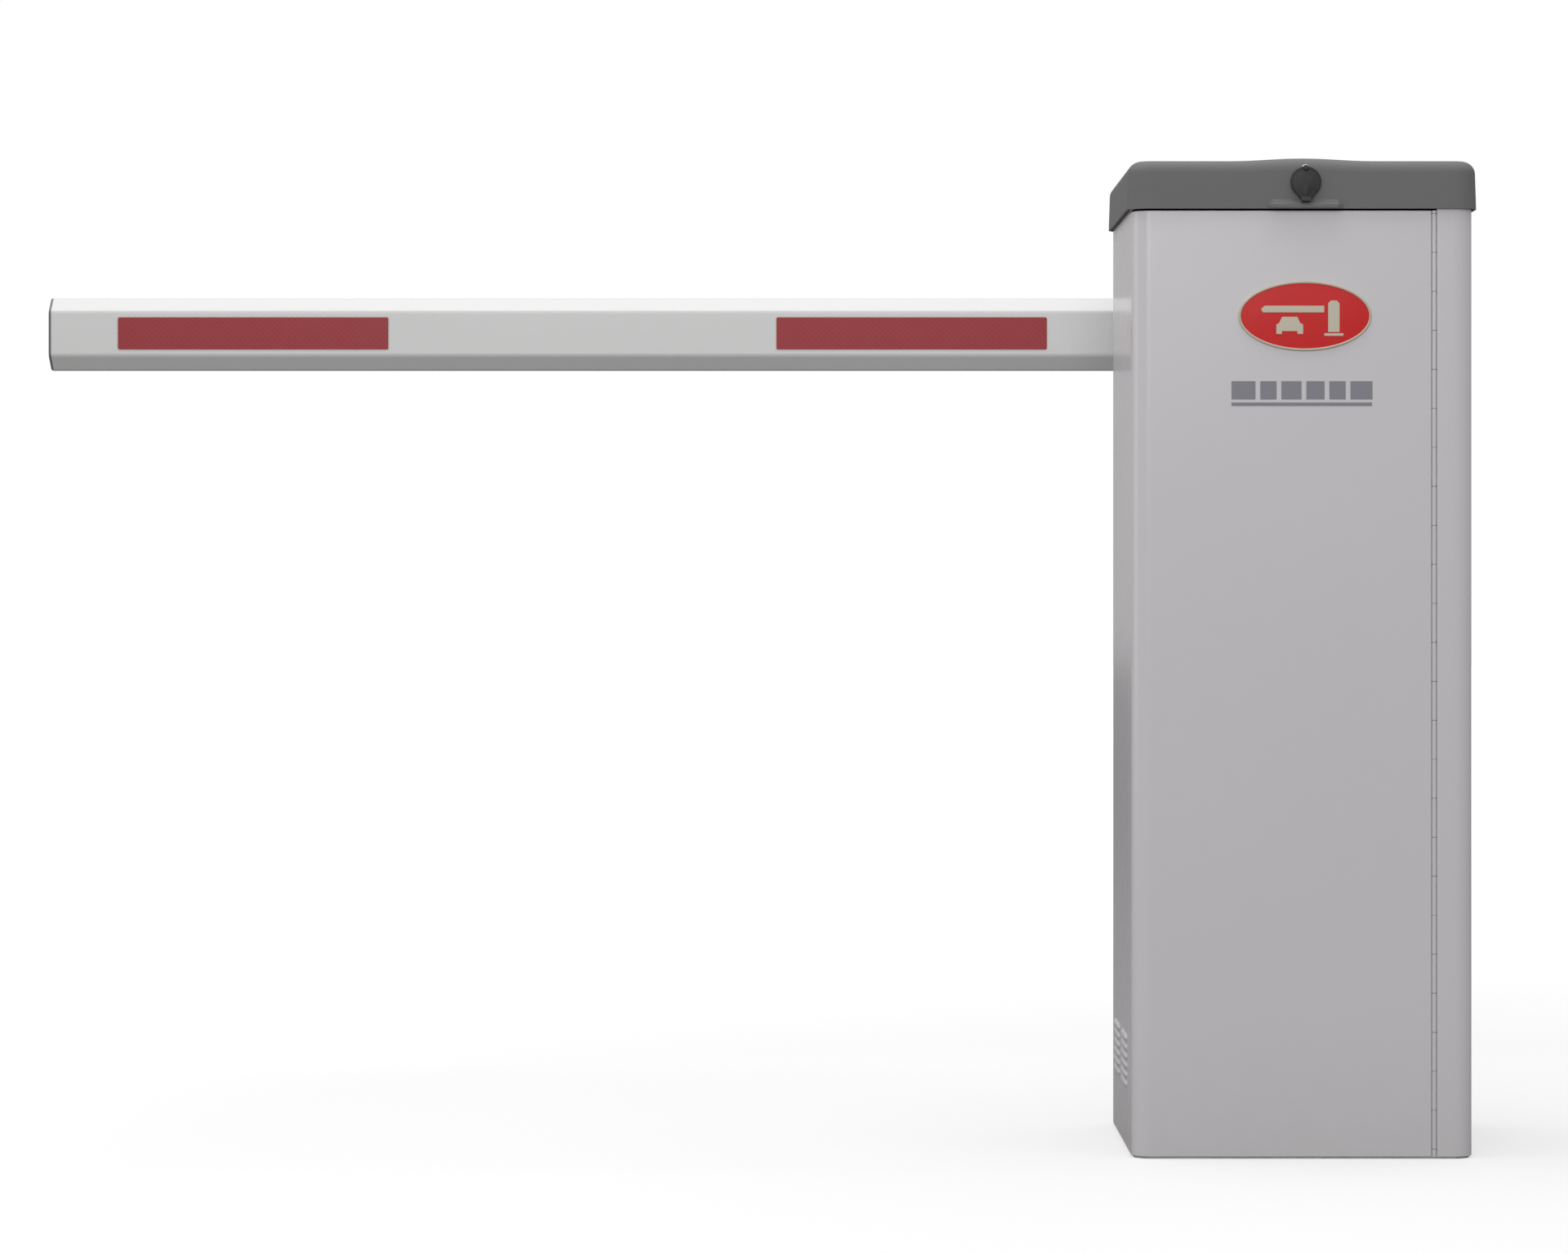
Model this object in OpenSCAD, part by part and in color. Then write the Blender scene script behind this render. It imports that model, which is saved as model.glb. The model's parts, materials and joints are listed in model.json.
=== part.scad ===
// Parking barrier gate: a sheet-metal cabinet with a hinged door, a lift-off lid and a
// short octagonal boom on the back, driven by a worm gearmotor through a crank, a link
// and a rocker, and balanced by an extension spring.
// +Z is up, the door faces -Y and the boom points to -X when the gate is closed.
// The origin is on the floor, at the centre of the four anchor holes. Millimetres.

/* [Cabinet] */
// Outside width of the cabinet
cab_w = 356; // [340:1:430]
// Outside depth of the cabinet
cab_d = 356; // [340:1:430]
// Height of the sheet body, up to its edge inside the lid
body_top = 1018; // [1010:1:1240]
// Sheet thickness of body and door
sheet = 2; // [1.5:0.1:3]
// Outside radius of the upright corners
corner_r = 20; // [14:1:26]
// Gap between the sheet body and the floor
floor_gap = 2; // [1:0.5:4]
// Length of one ventilation slot
vent_len = 85; // [50:1:95]
// Height of one ventilation slot
vent_h = 3.6; // [2:0.1:5]
// Slots in each column
vent_rows = 6; // [2:1:10]

/* [Door] */
// Width of the fixed strip beside the door, from the cabinet's right face
strip_w = 38; // [34:1:60]
// How far the door wraps round onto the left side
door_wrap = 45; // [35:1:60]
// Gap between the door and the fixed sheet
door_gap = 2; // [1:0.1:3]
// Outside radius of the hinge knuckle
knuckle_r = 2.6; // [2.2:0.1:3.2]

/* [Lid] */
// Height of the lid at its edges
lid_h = 50.5; // [45:0.5:60]
// Rise of the lid's middle band above its edges
lid_crown = 2.5; // [0.5:0.5:6]
// How far the lid stands out past the cabinet
lid_over = 5; // [4:0.5:8]
// Wall of the lid
lid_wall = 2.5; // [2:0.1:3.5]
// Radius of the lid's top edge
lid_edge_r = 14; // [8:1:16]
// Width of the finger lip on the lid's front
lip_w = 78; // [60:1:100]
// How far the finger lip stands out
lip_out = 7; // [4:0.5:10]

/* [Boom] */
// Height of the boom's axis above the floor
boom_z = 880; // [860:1:1060]
// Length of the boom from the axis to its free end
boom_reach = 1368; // [1100:1:2500]
// Length of the boom behind the axis
boom_tail = 120; // [115:1:160]
// Height of the octagonal tube
boom_h = 81; // [66:1:98]
// Depth of the octagonal tube
boom_d = 60; // [48:1:72]
// Wall of the tube
boom_wall = 2.5; // [1.5:0.1:4]
// Distance from the cabinet's back to the boom
boom_gap = 38; // [32:1:50]
// Length of one strip of reflective tape
tape_len = 305; // [150:1:370]
// Height of the tape
tape_h = 38; // [20:1:46]

/* [Drive] */
// Radius of the main shaft
shaft_r = 17.5; // [14:0.5:21]
// Throw of the crank and of both rocker arms
throw_r = 90; // [76:1:95]
// Distance between the gearbox output and the main shaft
link_len = 280; // [240:1:300]
// Radius of the link and spring pins
pin_r = 6; // [5:0.5:7]
// Teeth on the worm wheel
wheel_teeth = 30; // [24:1:32]
// Module of the worm gearing
gear_mod = 3; // [2.6:0.1:3.2]
// Outside radius of the balance spring
spring_r = 16; // [12:1:19]

/* [Base] */
// Thickness of the base plate
base_t = 8; // [5:1:12]
// Distance between anchor holes, both ways
anchor_pitch = 260; // [230:1:280]
// Radius of an anchor hole
anchor_r = 7; // [5:0.5:9]

/* [Hidden] */
$fn = 64;
eps = 0.01;             // overlap that joins or cuts cleanly
run = 0.06;             // radial clearance of a running fit
slip = 0.3;             // clearance between parts that pass each other

// Planes of the cabinet
half_w = cab_w / 2;
front_y = -cab_d / 2;
back_y = cab_d / 2;
inner_w = half_w - sheet;
inner_front = front_y + sheet;
inner_back = back_y - sheet;

// Lid
lid_z = body_top - 27;                  // lower edge of the lid's skirt
lid_top = lid_z + lid_h;
lid_corner_r = corner_r + lid_over;
lid_front = front_y - lid_over;
lid_in_front = lid_front + lid_wall;
lid_draft = 1.2;

// Ring inside the body's top
ring_h = 16;
ring_t = 2;
ring_in = 24;
ring_z = body_top - ring_h - 2;

// Door
door_top = lid_z - door_gap;
door_x1 = half_w - strip_w - knuckle_r - 3.4;    // hinge edge of the door
hinge_x = door_x1 + knuckle_r + 0.4;             // hinge axis
hinge_y = front_y + knuckle_r;
strip_x0 = hinge_x + knuckle_r + 0.4;            // edge of the fixed strip
door_y1 = front_y + door_wrap;                   // end of the door on the left side
leaf_t = 1.2;
leaf_w = 17;
leaf_gap = 0.3;                                  // from the axis plane to each leaf
flange_w = 18;                                   // return flanges of door and strip
flange_z0 = base_t + 2;
pin_hinge_r = 1.3;
pin_over = 1.5;                                  // hinge pin past the leaves at each end
knuckles = 24;
knuckle_gap = 0.25;                              // at each end of a knuckle
hinge_z0 = base_t + 2;
hinge_z1 = door_top - 3;
knuckle_len = (hinge_z1 - hinge_z0) / knuckles;

// Drive frame
plate_t = 6;
frame_gap = 98;
frame_w = 300;
frame_z1 = boom_z + throw_r - 5;
rear_plate_y = inner_back - 6 - plate_t;
frame_y = rear_plate_y - frame_gap - plate_t;    // front face of the front plate
between_y = frame_y + plate_t;                   // inner face of the front plate
gear_z = boom_z - link_len;
bearing_r = shaft_r + 8.5;
rocker_t = 14;
rocker_y = frame_y - 30;
link_t = 12;
link_y = rocker_y - link_t - 2;
spring_y = link_y - 4;
arm_dir = 45;                                    // rocker's slope with the gate closed
arm_off = throw_r * cos(arm_dir);                // pin offset from the shaft, both ways
rocker_w = 36;
eye_r = 14;

// Gearbox
wheel_r = gear_mod * wheel_teeth / 2;
worm_r = 13;
worm_x = wheel_r + worm_r;
gear_wall = 6;
gear_x0 = -wheel_r - gear_mod - 4 - gear_wall;
gear_x1 = worm_x + worm_r + gear_mod + 4 + gear_wall;
gear_half_z = wheel_r + gear_mod + 11 + gear_wall;
gear_y0 = between_y + 4;
gear_y1 = rear_plate_y - 6;
cover_t = 8;
wheel_t = 16;
wheel_y = (gear_y0 + gear_y1) / 2;
out_shaft_r = 14;
motor_r = 40;
motor_len = 150;
motor_z1 = gear_z - gear_half_z;
motor_z0 = motor_z1 - motor_len;

// Boom
boom_front = back_y + boom_gap;
boom_back = boom_front + boom_d;
boom_cy = boom_front + boom_d / 2;
cham_z = boom_h * 0.19;                          // chamfer's height on the octagon
cham_y = boom_d / 3;                             // chamfer's depth on the octagon
saddle_w = 220;
saddle_h = boom_h + 60;
saddle_t = 10;
clamp_t = 5;
clamp_x = 85;
clamp_z = boom_h / 2 + 17;
tape_t = 0.4;
tape_x = [-boom_reach + 77, -boom_reach + 815];  // free end of each strip
tape_shown = min(tape_len, boom_reach - 2 * 77 - 738);

// Spring
spring_x = arm_off;
shackle_drop = 45;
spring_top = boom_z + arm_off - shackle_drop;
spring_low = gear_z - 108;
anchor_z = spring_low - 92;

// Controls
panel_t = 3;
panel_y = front_y + 116;
panel_w = 280;
panel_z0 = gear_z - 270;
panel_z1 = gear_z + 160;
board_w = 230;
board_h = 190;
board_z = panel_z1 - board_h - 25;
board_t = 2;
board_y = panel_y - 10 - board_t;
shelf_z = 150;
shelf_t = 3;
shelf_y = front_y + flange_w + 8;

// Lid lock
lock_z = lid_z + 27.5;
lock_x = 2;
lock_r = 11;
lock_clear = lock_r + 6;                // half width of the notch behind the lock
plug_r = 7;
cam_len = 8;
cover_r = 16;

// Plan of a box with round upright corners, centred on the origin.
module round_plan(w, d, r) {
    square([w - 2 * r, d], center = true);
    square([w, d - 2 * r], center = true);
    for (sx = [-1, 1], sy = [-1, 1])
        translate([sx * (w / 2 - r), sy * (d / 2 - r)]) circle(r);
}

// A bar from a to b in the XZ plane with round ends, t thick from y = 0 towards +Y,
// and a little narrower and thinner between its ends.
module bar_xz(a, b, r, t) {
    run_len = norm(b - a);
    waist = 0.9 * r;
    inset = t / 12;
    for (p = [a, b])
        translate([p[0], 0, p[1]]) rotate([-90, 0, 0]) cylinder(r = r, h = t);
    translate([a[0], 0, a[1]])
        rotate([0, -atan2(b[1] - a[1], b[0] - a[0]), 0])
            translate([0, inset, -waist]) cube([run_len, t - 2 * inset, 2 * waist]);
}

// A cylinder along +Y from y0 to y1, at x and z.
module along_y(x, z, y0, y1, r) {
    translate([x, y0, z]) rotate([-90, 0, 0]) cylinder(r = r, h = y1 - y0);
}

// A hexagon bolt head or nut along +Y from y0, across-corners radius r.
module hex_y(x, z, y0, h, r) {
    translate([x, y0, z]) rotate([-90, 0, 0]) cylinder(r = r, h = h, $fn = 6);
}

// A box given by its two corners.
module block(a, b) {
    translate(a) cube(b - a);
}

// ---------------------------------------------------------------- base and cabinet

cable_hole = [160, 100];
cable_y = -70;

module base_plate() {
    color("dimgray") difference() {
        linear_extrude(base_t)
            round_plan(cab_w - 2 * sheet - 1, cab_d - 2 * sheet - 1, corner_r - sheet);
        for (sx = [-1, 1], sy = [-1, 1])
            translate([sx, sy, 0] * anchor_pitch / 2 - [0, 0, 1])
                cylinder(r = anchor_r, h = base_t + 2);
        translate([-cable_hole[0] / 2, cable_y - cable_hole[1] / 2, -1])
            cube([cable_hole[0], cable_hole[1], base_t + 2]);
    }
}

vent_z = 69;
vent_pitch = 9.7;
vent_y = [front_y + 130, front_y + 258];

// Slots through both side walls, two columns on each side.
module vent_slots() {
    for (y = vent_y, row = [0 : vent_rows - 1])
        translate([-half_w - 5, y, vent_z + row * vent_pitch]) {
            translate([0, -vent_len / 2, -vent_h / 2]) cube([cab_w + 10, vent_len, vent_h]);
        }
}

// Upright notch behind the lid's lock, from z0 to above the body's edge.
module lock_notch(z0) {
    block([lock_x - lock_clear, front_y - 1, z0], [lock_x + lock_clear, inner_front + 5, lid_top]);
}

module cabinet_body() {
    wall_h = body_top - floor_gap;
    color("gainsboro") difference() {
        union() {
            translate([0, 0, floor_gap]) linear_extrude(wall_h) difference() {
                round_plan(cab_w, cab_d, corner_r);
                round_plan(cab_w - 2 * sheet, cab_d - 2 * sheet, corner_r - sheet);
            }
            // return flanges beside the door opening
            block([strip_x0, front_y + sheet - eps, flange_z0],
                  [strip_x0 + sheet, front_y + flange_w + 4, door_top]);
            block([-half_w + sheet - eps, door_y1 + door_gap, flange_z0],
                  [-half_w + flange_w, door_y1 + door_gap + sheet, door_top]);
        }
        // door opening: the front up to the strip and the wrapped part of the left side
        block([-half_w - 1, front_y - 1, floor_gap - 1],
              [strip_x0, front_y + corner_r + sheet, door_top + door_gap]);
        block([-half_w - 1, front_y - 1, floor_gap - 1],
              [-half_w + corner_r, door_y1 + door_gap, door_top + door_gap]);
        along_y(0, boom_z, inner_back - 1, back_y + 1, shaft_r + 22.5);
        vent_slots();
        lock_notch(lock_z - lock_clear);
    }
}

// Angle ring inside the top of the body, which stiffens it and carries the lid catch.
module top_frame() {
    fit = 2 * (sheet + slip / 2);
    color("darkgray") difference() {
        union() {
            translate([0, 0, ring_z]) linear_extrude(ring_h) difference() {
                round_plan(cab_w - fit, cab_d - fit, corner_r - sheet);
                round_plan(cab_w - fit - 2 * ring_t, cab_d - fit - 2 * ring_t, corner_r - sheet - ring_t);
            }
            translate([0, 0, ring_z]) linear_extrude(ring_t) difference() {
                round_plan(cab_w - fit - 1, cab_d - fit - 1, corner_r - sheet);
                round_plan(cab_w - fit - 2 * ring_in, cab_d - fit - 2 * ring_in, 6);
            }
        }
        lock_notch(ring_z + ring_t);
    }
}

seal_t = 1.2;
seal_h = 3;

// Rubber trim that caps the body's upper edge, broken at the lock's notch.
module lid_seal() {
    color("black") difference() {
        union() {
            translate([0, 0, body_top - 8]) linear_extrude(8 + eps) difference() {
                round_plan(cab_w + 2 * seal_t, cab_d + 2 * seal_t, corner_r + seal_t);
                round_plan(cab_w + 0.1, cab_d + 0.1, corner_r + 0.05);
            }
            translate([0, 0, body_top]) linear_extrude(seal_h) difference() {
                round_plan(cab_w + 2 * seal_t, cab_d + 2 * seal_t, corner_r + seal_t);
                round_plan(cab_w - 2 * sheet - 1, cab_d - 2 * sheet - 1, corner_r - sheet - 0.5);
            }
        }
        translate([0, -seal_t - 1, 0]) lock_notch(body_top - 9);
        lock_notch(body_top - 9);
    }
}

// ---------------------------------------------------------------- drive frame

window_z0 = 190;
bolt_inset = 14;

// A frame plate with a tall window low down, t thick from y0.
module frame_plate(y0) {
    difference() {
        block([-frame_w / 2, y0, base_t], [frame_w / 2, y0 + plate_t, frame_z1]);
        block([-frame_w / 2 + 40, y0 - 1, window_z0], [frame_w / 2 - 40, y0 + plate_t + 1, motor_z0 - 30]);
        block([-frame_w / 2 + 40, y0 - 1, gear_z + gear_half_z + 10],
              [frame_w / 2 - 40, y0 + plate_t + 1, boom_z - bearing_r - 44]);
        along_y(0, boom_z, y0 - 1, y0 + plate_t + 1, shaft_r + 4);
    }
}

module frame_front_plate() {
    color("slategray") difference() {
        frame_plate(frame_y);
        along_y(0, gear_z, frame_y - 1, between_y + 1, out_shaft_r + 3);
    }
}

module frame_rear_plate() {
    color("slategray") frame_plate(rear_plate_y);
}

module frame_side_plates() {
    color("slategray") for (s = [-1, 1]) {
        x0 = s > 0 ? frame_w / 2 : -frame_w / 2 - plate_t;
        difference() {
            block([x0, frame_y, base_t], [x0 + plate_t, rear_plate_y + plate_t, frame_z1]);
            block([x0 - 1, between_y + 20, 120], [x0 + plate_t + 1, rear_plate_y - 20, frame_z1 - 60]);
        }
    }
}

bolt_rows = [60, 240, 420, 780, 940];

// Hexagon bolts through the side plates into the edges of the two frame plates.
module frame_bolts() {
    color("silver") for (s = [-1, 1], z = bolt_rows, y = [frame_y, rear_plate_y])
        translate([s * (frame_w / 2 + plate_t), y + plate_t / 2, min(z, frame_z1 - bolt_inset)])
            rotate([0, s * 90, 0]) cylinder(r = 6, h = 5, $fn = 6);
}

housing_half = 45;
housing_t = 12;
housing_boss = 20;

// One flanged bearing housing: flange at y0, boss towards +Y or -Y.
module bearing_housing(y0, dir) {
    y_flange = dir > 0 ? y0 : y0 - housing_t;
    y_boss = dir > 0 ? y0 : y0 - housing_boss;
    difference() {
        union() {
            block([-housing_half, y_flange, boom_z - housing_half],
                  [housing_half, y_flange + housing_t, boom_z + housing_half]);
            along_y(0, boom_z, y_boss, y_boss + housing_boss, bearing_r + 9);
        }
        along_y(0, boom_z, y_boss - 1, y_boss + housing_boss + 1, bearing_r);
    }
    for (sx = [-1, 1], sz = [-1, 1])
        hex_y(sx * 34, boom_z + sz * 34, dir > 0 ? y0 + housing_t : y0 - housing_t - 6, 6, 8);
}

module bearing_housings() {
    color("dimgray") {
        bearing_housing(between_y, 1);
        bearing_housing(rear_plate_y, -1);
    }
}

// Inner part of each bearing, tight on the shaft and free in its housing.
module bearing_rings() {
    color("silver") for (y = [between_y + 2, rear_plate_y - housing_boss + 2])
        difference() {
            along_y(0, boom_z, y, y + housing_boss - 4, bearing_r - run);
            along_y(0, boom_z, y - 1, y + housing_boss, shaft_r);
        }
}

// Rubber seal that closes the hole in the back wall round the shaft.
module shaft_seal() {
    color("black") difference() {
        union() {
            along_y(0, boom_z, inner_back - 3, inner_back, shaft_r + 28);
            along_y(0, boom_z, inner_back - eps, back_y + 3, shaft_r + 22);
        }
        along_y(0, boom_z, inner_back - 5, back_y + 5, shaft_r + 0.4);
    }
}

// ---------------------------------------------------------------- gearmotor

worm_bearing_r = 9;

module gearbox_housing() {
    color("gray") difference() {
        union() {
            block([gear_x0, gear_y0 + cover_t, gear_z - gear_half_z],
                  [gear_x1, gear_y1, gear_z + gear_half_z]);
            translate([worm_x, wheel_y, gear_z + gear_half_z - eps]) cylinder(r = 20, h = 8);
        }
        block([gear_x0 + gear_wall, gear_y0 + cover_t - 1, gear_z - gear_half_z + gear_wall],
              [gear_x1 - gear_wall, gear_y1 - gear_wall, gear_z + gear_half_z - gear_wall]);
        translate([worm_x, wheel_y, gear_z - gear_half_z - 1])
            cylinder(r = worm_bearing_r + run, h = 2 * gear_half_z + 5);
    }
    // ribs on the back face
    color("gray") for (x = [gear_x0 + 12 : 16 : gear_x1 - 12])
        block([x - 2, gear_y1 - eps, gear_z - gear_half_z + 6],
              [x + 2, gear_y1 + 4, gear_z + gear_half_z - 6]);
}

module gearbox_cover() {
    color("gray") difference() {
        union() {
            block([gear_x0, gear_y0, gear_z - gear_half_z],
                  [gear_x1, gear_y0 + cover_t, gear_z + gear_half_z]);
            along_y(0, gear_z, between_y, gear_y0 + eps, 40);
            along_y(0, gear_z, gear_y0 + cover_t - eps, wheel_y - wheel_t / 2 - 1, 24);
        }
        along_y(0, gear_z, between_y - 1, wheel_y, out_shaft_r + run);
    }
}

// Bolts that hold the gearbox to the front frame plate.
module gearbox_bolts() {
    color("silver") for (a = [45 : 90 : 315])
        hex_y(30 * cos(a), gear_z + 30 * sin(a), frame_y - 6, 6, 7);
}

// One tooth of the worm wheel as four outline points, i counting round the wheel.
function tooth(i) = let (
    step = 360 / wheel_teeth,
    mid = (i + 0.5) * step,
    root = wheel_r - gear_mod * 1.2,
    tip = wheel_r + gear_mod * 0.8
) [for (p = [[root, -0.27], [tip, -0.1], [tip, 0.1], [root, 0.27]])
    p[0] * [cos(mid + p[1] * step), sin(mid + p[1] * step)]];

module worm_wheel() {
    color("goldenrod") translate([0, wheel_y - wheel_t / 2, gear_z]) rotate([-90, 0, 0])
        difference() {
            linear_extrude(wheel_t) polygon([for (i = [0 : wheel_teeth - 1]) each tooth(i)]);
            translate([0, 0, -1]) cylinder(r = out_shaft_r, h = wheel_t + 2);
        }
}

worm_turns = 5;
worm_pitch = PI * gear_mod;
worm_depth = 2.5;                   // eccentricity of the thread's section

// Motor shaft with its worm. The thread is a round section turned off its centre.
module motor_worm() {
    thread_len = worm_turns * worm_pitch;
    color("silver") translate([worm_x, wheel_y, 0]) {
        translate([0, 0, motor_z0 + 12]) cylinder(r = 7, h = motor_z1 - motor_z0 - 12 + eps);
        translate([0, 0, motor_z1]) cylinder(r = worm_bearing_r, h = 2 * gear_half_z);
        translate([0, 0, gear_z - thread_len / 2])
            linear_extrude(thread_len, twist = -360 * worm_turns, slices = worm_turns * 12, $fn = 16)
                translate([worm_depth, 0]) circle(worm_r - 0.6);
    }
}

module motor_body() {
    color("dimgray") translate([worm_x, wheel_y, 0]) difference() {
        union() {
            translate([0, 0, motor_z0 + 14]) cylinder(r = motor_r, h = motor_len - 24);
            translate([0, 0, motor_z1 - 10]) cylinder(r = motor_r + 5, h = 10);
        }
        translate([0, 0, motor_z0 + 8]) cylinder(r = motor_r - 4, h = motor_len - 26);
        translate([0, 0, motor_z0]) cylinder(r = 8, h = motor_len + 5);
    }
}

module motor_end_cap() {
    color("black") translate([worm_x, wheel_y, motor_z0]) difference() {
        union() {
            cylinder(r = motor_r + 2, h = 14);
            translate([0, 0, -12]) cylinder(r = motor_r - 12, h = 13);
        }
        translate([0, 0, 10]) cylinder(r = motor_r - 6, h = 10);
        translate([0, 0, 4]) cylinder(r = 8, h = 10);
    }
}

// Output shaft with its crank and crank pin.
module crank_assembly() {
    pin = [-arm_off, gear_z - arm_off];
    color("silver") {
        along_y(0, gear_z, link_y + link_t + 0.6, wheel_y + wheel_t / 2 + 14, out_shaft_r);
        translate([0, rocker_y, 0]) bar_xz([0, gear_z], pin, rocker_w / 2, rocker_t);
        along_y(0, gear_z, rocker_y - 1, rocker_y + rocker_t + 2, 24);
        along_y(pin[0], pin[1], link_y - 2, rocker_y + 1, pin_r);
    }
}

// ---------------------------------------------------------------- link, rocker, shaft

module link_rod() {
    low = [-arm_off, gear_z - arm_off];
    high = [-arm_off, boom_z - arm_off];
    color("silver") difference() {
        union() {
            for (p = [low, high])
                along_y(p[0], p[1], link_y, link_y + link_t, eye_r);
            translate([low[0], link_y + link_t / 2, low[1] + eye_r - 3])
                cylinder(r = 5, h = link_len - 2 * eye_r + 6);
            for (z = [low[1] + 30, high[1] - 38])
                translate([low[0], link_y + link_t / 2, z]) cylinder(r = 8, h = 8, $fn = 6);
            translate([low[0], link_y + link_t / 2, low[1] + 50])
                cylinder(r = 7.5, h = link_len - 100);
        }
        for (p = [low, high])
            along_y(p[0], p[1], link_y - 1, link_y + link_t + 1, pin_r + run);
    }
}

module rocker_lever() {
    left = [-arm_off, boom_z - arm_off];
    right = [arm_off, boom_z + arm_off];
    color("slategray") translate([0, rocker_y, 0]) difference() {
        union() {
            bar_xz(left, right, rocker_w / 2, rocker_t);
            along_y(0, boom_z, -2, rocker_t + 2, shaft_r + 13);
        }
        along_y(0, boom_z, -3, rocker_t + 3, shaft_r);
        for (p = [left, right])
            along_y(p[0], p[1], -1, rocker_t + 1, pin_r);
    }
}

module rocker_pins() {
    color("silver") {
        along_y(-arm_off, boom_z - arm_off, link_y - 2, rocker_y + rocker_t + 1, pin_r);
        along_y(arm_off, boom_z + arm_off, spring_y - 14, rocker_y + rocker_t + 1, pin_r);
        along_y(-arm_off, boom_z - arm_off, link_y - 4, link_y - 1, pin_r + 3);
        along_y(arm_off, boom_z + arm_off, spring_y - 16, spring_y - 13, pin_r + 3);
    }
}

magnet_t = 8;

module main_shaft() {
    color("silver") along_y(0, boom_z, rocker_y - 14, boom_front - 1, shaft_r);
    // magnet disc for the position sensor
    color("firebrick") difference() {
        along_y(0, boom_z, rocker_y - 14 + 2, rocker_y - 14 + 2 + magnet_t, shaft_r + 8);
        along_y(0, boom_z, rocker_y - 20, rocker_y, shaft_r - eps);
    }
}

// Hall sensor over the magnet disc, on an arm from the front frame plate.
module position_sensor() {
    z0 = boom_z + shaft_r + 11;
    color("black") {
        block([-12, rocker_y - 16, z0], [12, rocker_y - 2, z0 + 14]);
        block([-8, rocker_y - 4, z0 + 14 - eps], [8, rocker_y + 2, z0 + 58]);
        block([-8, rocker_y - 4, z0 + 52], [8, frame_y, z0 + 58]);
    }
}

bumper_r = 11;
bumper_len = 16;
bumper_at = 68;                      // distance of the stops from the shaft, along the arm
stop_z = 0.9 * rocker_w / 2 + slip;  // bumper's face, off the arm's middle line

// Places children at the closed-gate stop (s = 1) and the open-gate stop (s = -1), with
// +Z pointing away from the rocker arm that lands on them.
module at_stop(s) {
    translate([0, 0, boom_z]) rotate([0, -s * arm_dir, 0]) translate([bumper_at, 0, 0])
        rotate([0, s > 0 ? 0 : 180, 0]) children();
}

module stop_bumpers() {
    color("black") for (s = [1, -1])
        at_stop(s) translate([0, rocker_y + rocker_t / 2, stop_z])
            cylinder(r = bumper_r, h = bumper_len);
}

module stop_brackets() {
    z0 = stop_z + bumper_len;
    color("slategray") for (s = [1, -1])
        at_stop(s) block([-13, rocker_y - 5, z0], [13, frame_y, z0 + 6]);
}

// ---------------------------------------------------------------- balance spring

// Clevis that hangs from the rocker's pin and takes the spring's upper hook.
module spring_shackle() {
    pin_z = boom_z + arm_off;
    low_z = pin_z - shackle_drop;
    color("silver") difference() {
        union() for (y = [spring_y - 9, spring_y + 5])
            translate([0, y, 0]) bar_xz([spring_x, pin_z], [spring_x, low_z], 11, 4);
        along_y(spring_x, pin_z, spring_y - 20, spring_y + 20, pin_r + run);
    }
    color("silver") along_y(spring_x, low_z, spring_y - 9, spring_y + 9, hook_pin_r);
}

hook_r = 8;                         // inside radius of the hooks and of the bolt's eye
wire_r = 2.6;
hook_pin_r = 4;
eye_wire_r = 3;
hook_low = spring_low + 12.5;       // centre of the lower hook, linked through the eye
hook_top = spring_top + hook_pin_r + slip - hook_r;

// Sleeve that holds the place of the coils, with a hook at each end.
module balance_spring() {
    z0 = spring_low + 22;
    z1 = spring_top - 14;
    color("silver") translate([spring_x, spring_y, 0]) {
        difference() {
            translate([0, 0, z0]) cylinder(r = spring_r, h = z1 - z0);
            translate([0, 0, z0 + 4]) cylinder(r = spring_r - 2 * wire_r, h = z1 - z0 - 8);
        }
        for (z = [hook_low, hook_top])
            translate([0, 0, z]) rotate([90, 0, 0])
                rotate_extrude() translate([hook_r + wire_r, 0]) circle(wire_r, $fn = 24);
    }
}

eye_bolt_r = 5;

// Threaded rod with an eye at its top, and the two nuts that set its height.
module spring_eye_bolt() {
    color("silver") translate([spring_x, spring_y, 0]) {
        translate([0, 0, anchor_z - 40]) cylinder(r = eye_bolt_r, h = spring_low - anchor_z + 28);
        translate([0, 0, spring_low - 3]) rotate([0, 90, 0])
            rotate_extrude() translate([hook_r + eye_wire_r, 0]) circle(eye_wire_r, $fn = 24);
        for (z = [anchor_z - 8, anchor_z + 6])
            translate([0, 0, z]) difference() {
                cylinder(r = 9, h = 8, $fn = 6);
                translate([0, 0, -1]) cylinder(r = eye_bolt_r, h = 10);
            }
    }
}

module spring_anchor_bracket() {
    half = 20;
    color("slategray") difference() {
        union() {
            block([spring_x - half, spring_y - 16, anchor_z], [spring_x + half, frame_y, anchor_z + 6]);
            block([spring_x - half, frame_y - 6, anchor_z - 50], [spring_x + half, frame_y, anchor_z + 40]);
            for (x = [spring_x - half, spring_x + half - 4])
                translate([x, 0, 0]) rotate([90, 0, 90]) linear_extrude(4)
                    polygon([[frame_y - 5, anchor_z + 1], [spring_y - 4, anchor_z + 1],
                             [frame_y - 5, anchor_z - 45]]);
        }
        translate([spring_x, spring_y, anchor_z - 60]) cylinder(r = 5.5, h = 80);
    }
}

// ---------------------------------------------------------------- controls

module control_panel() {
    color("lightgray") difference() {
        block([-panel_w / 2, panel_y, panel_z0], [panel_w / 2, panel_y + panel_t, panel_z1]);
        for (x = [-100 : 40 : 100])
            block([x - 12, panel_y - 1, panel_z0 + 24], [x + 12, panel_y + panel_t + 1, panel_z0 + 34]);
    }
}

module panel_posts() {
    color("silver") for (sx = [-1, 1], z = [panel_z0 + 20, panel_z1 - 14])
        along_y(sx * (panel_w / 2 - 12), z, panel_y + panel_t, frame_y, 7);
}

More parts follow.
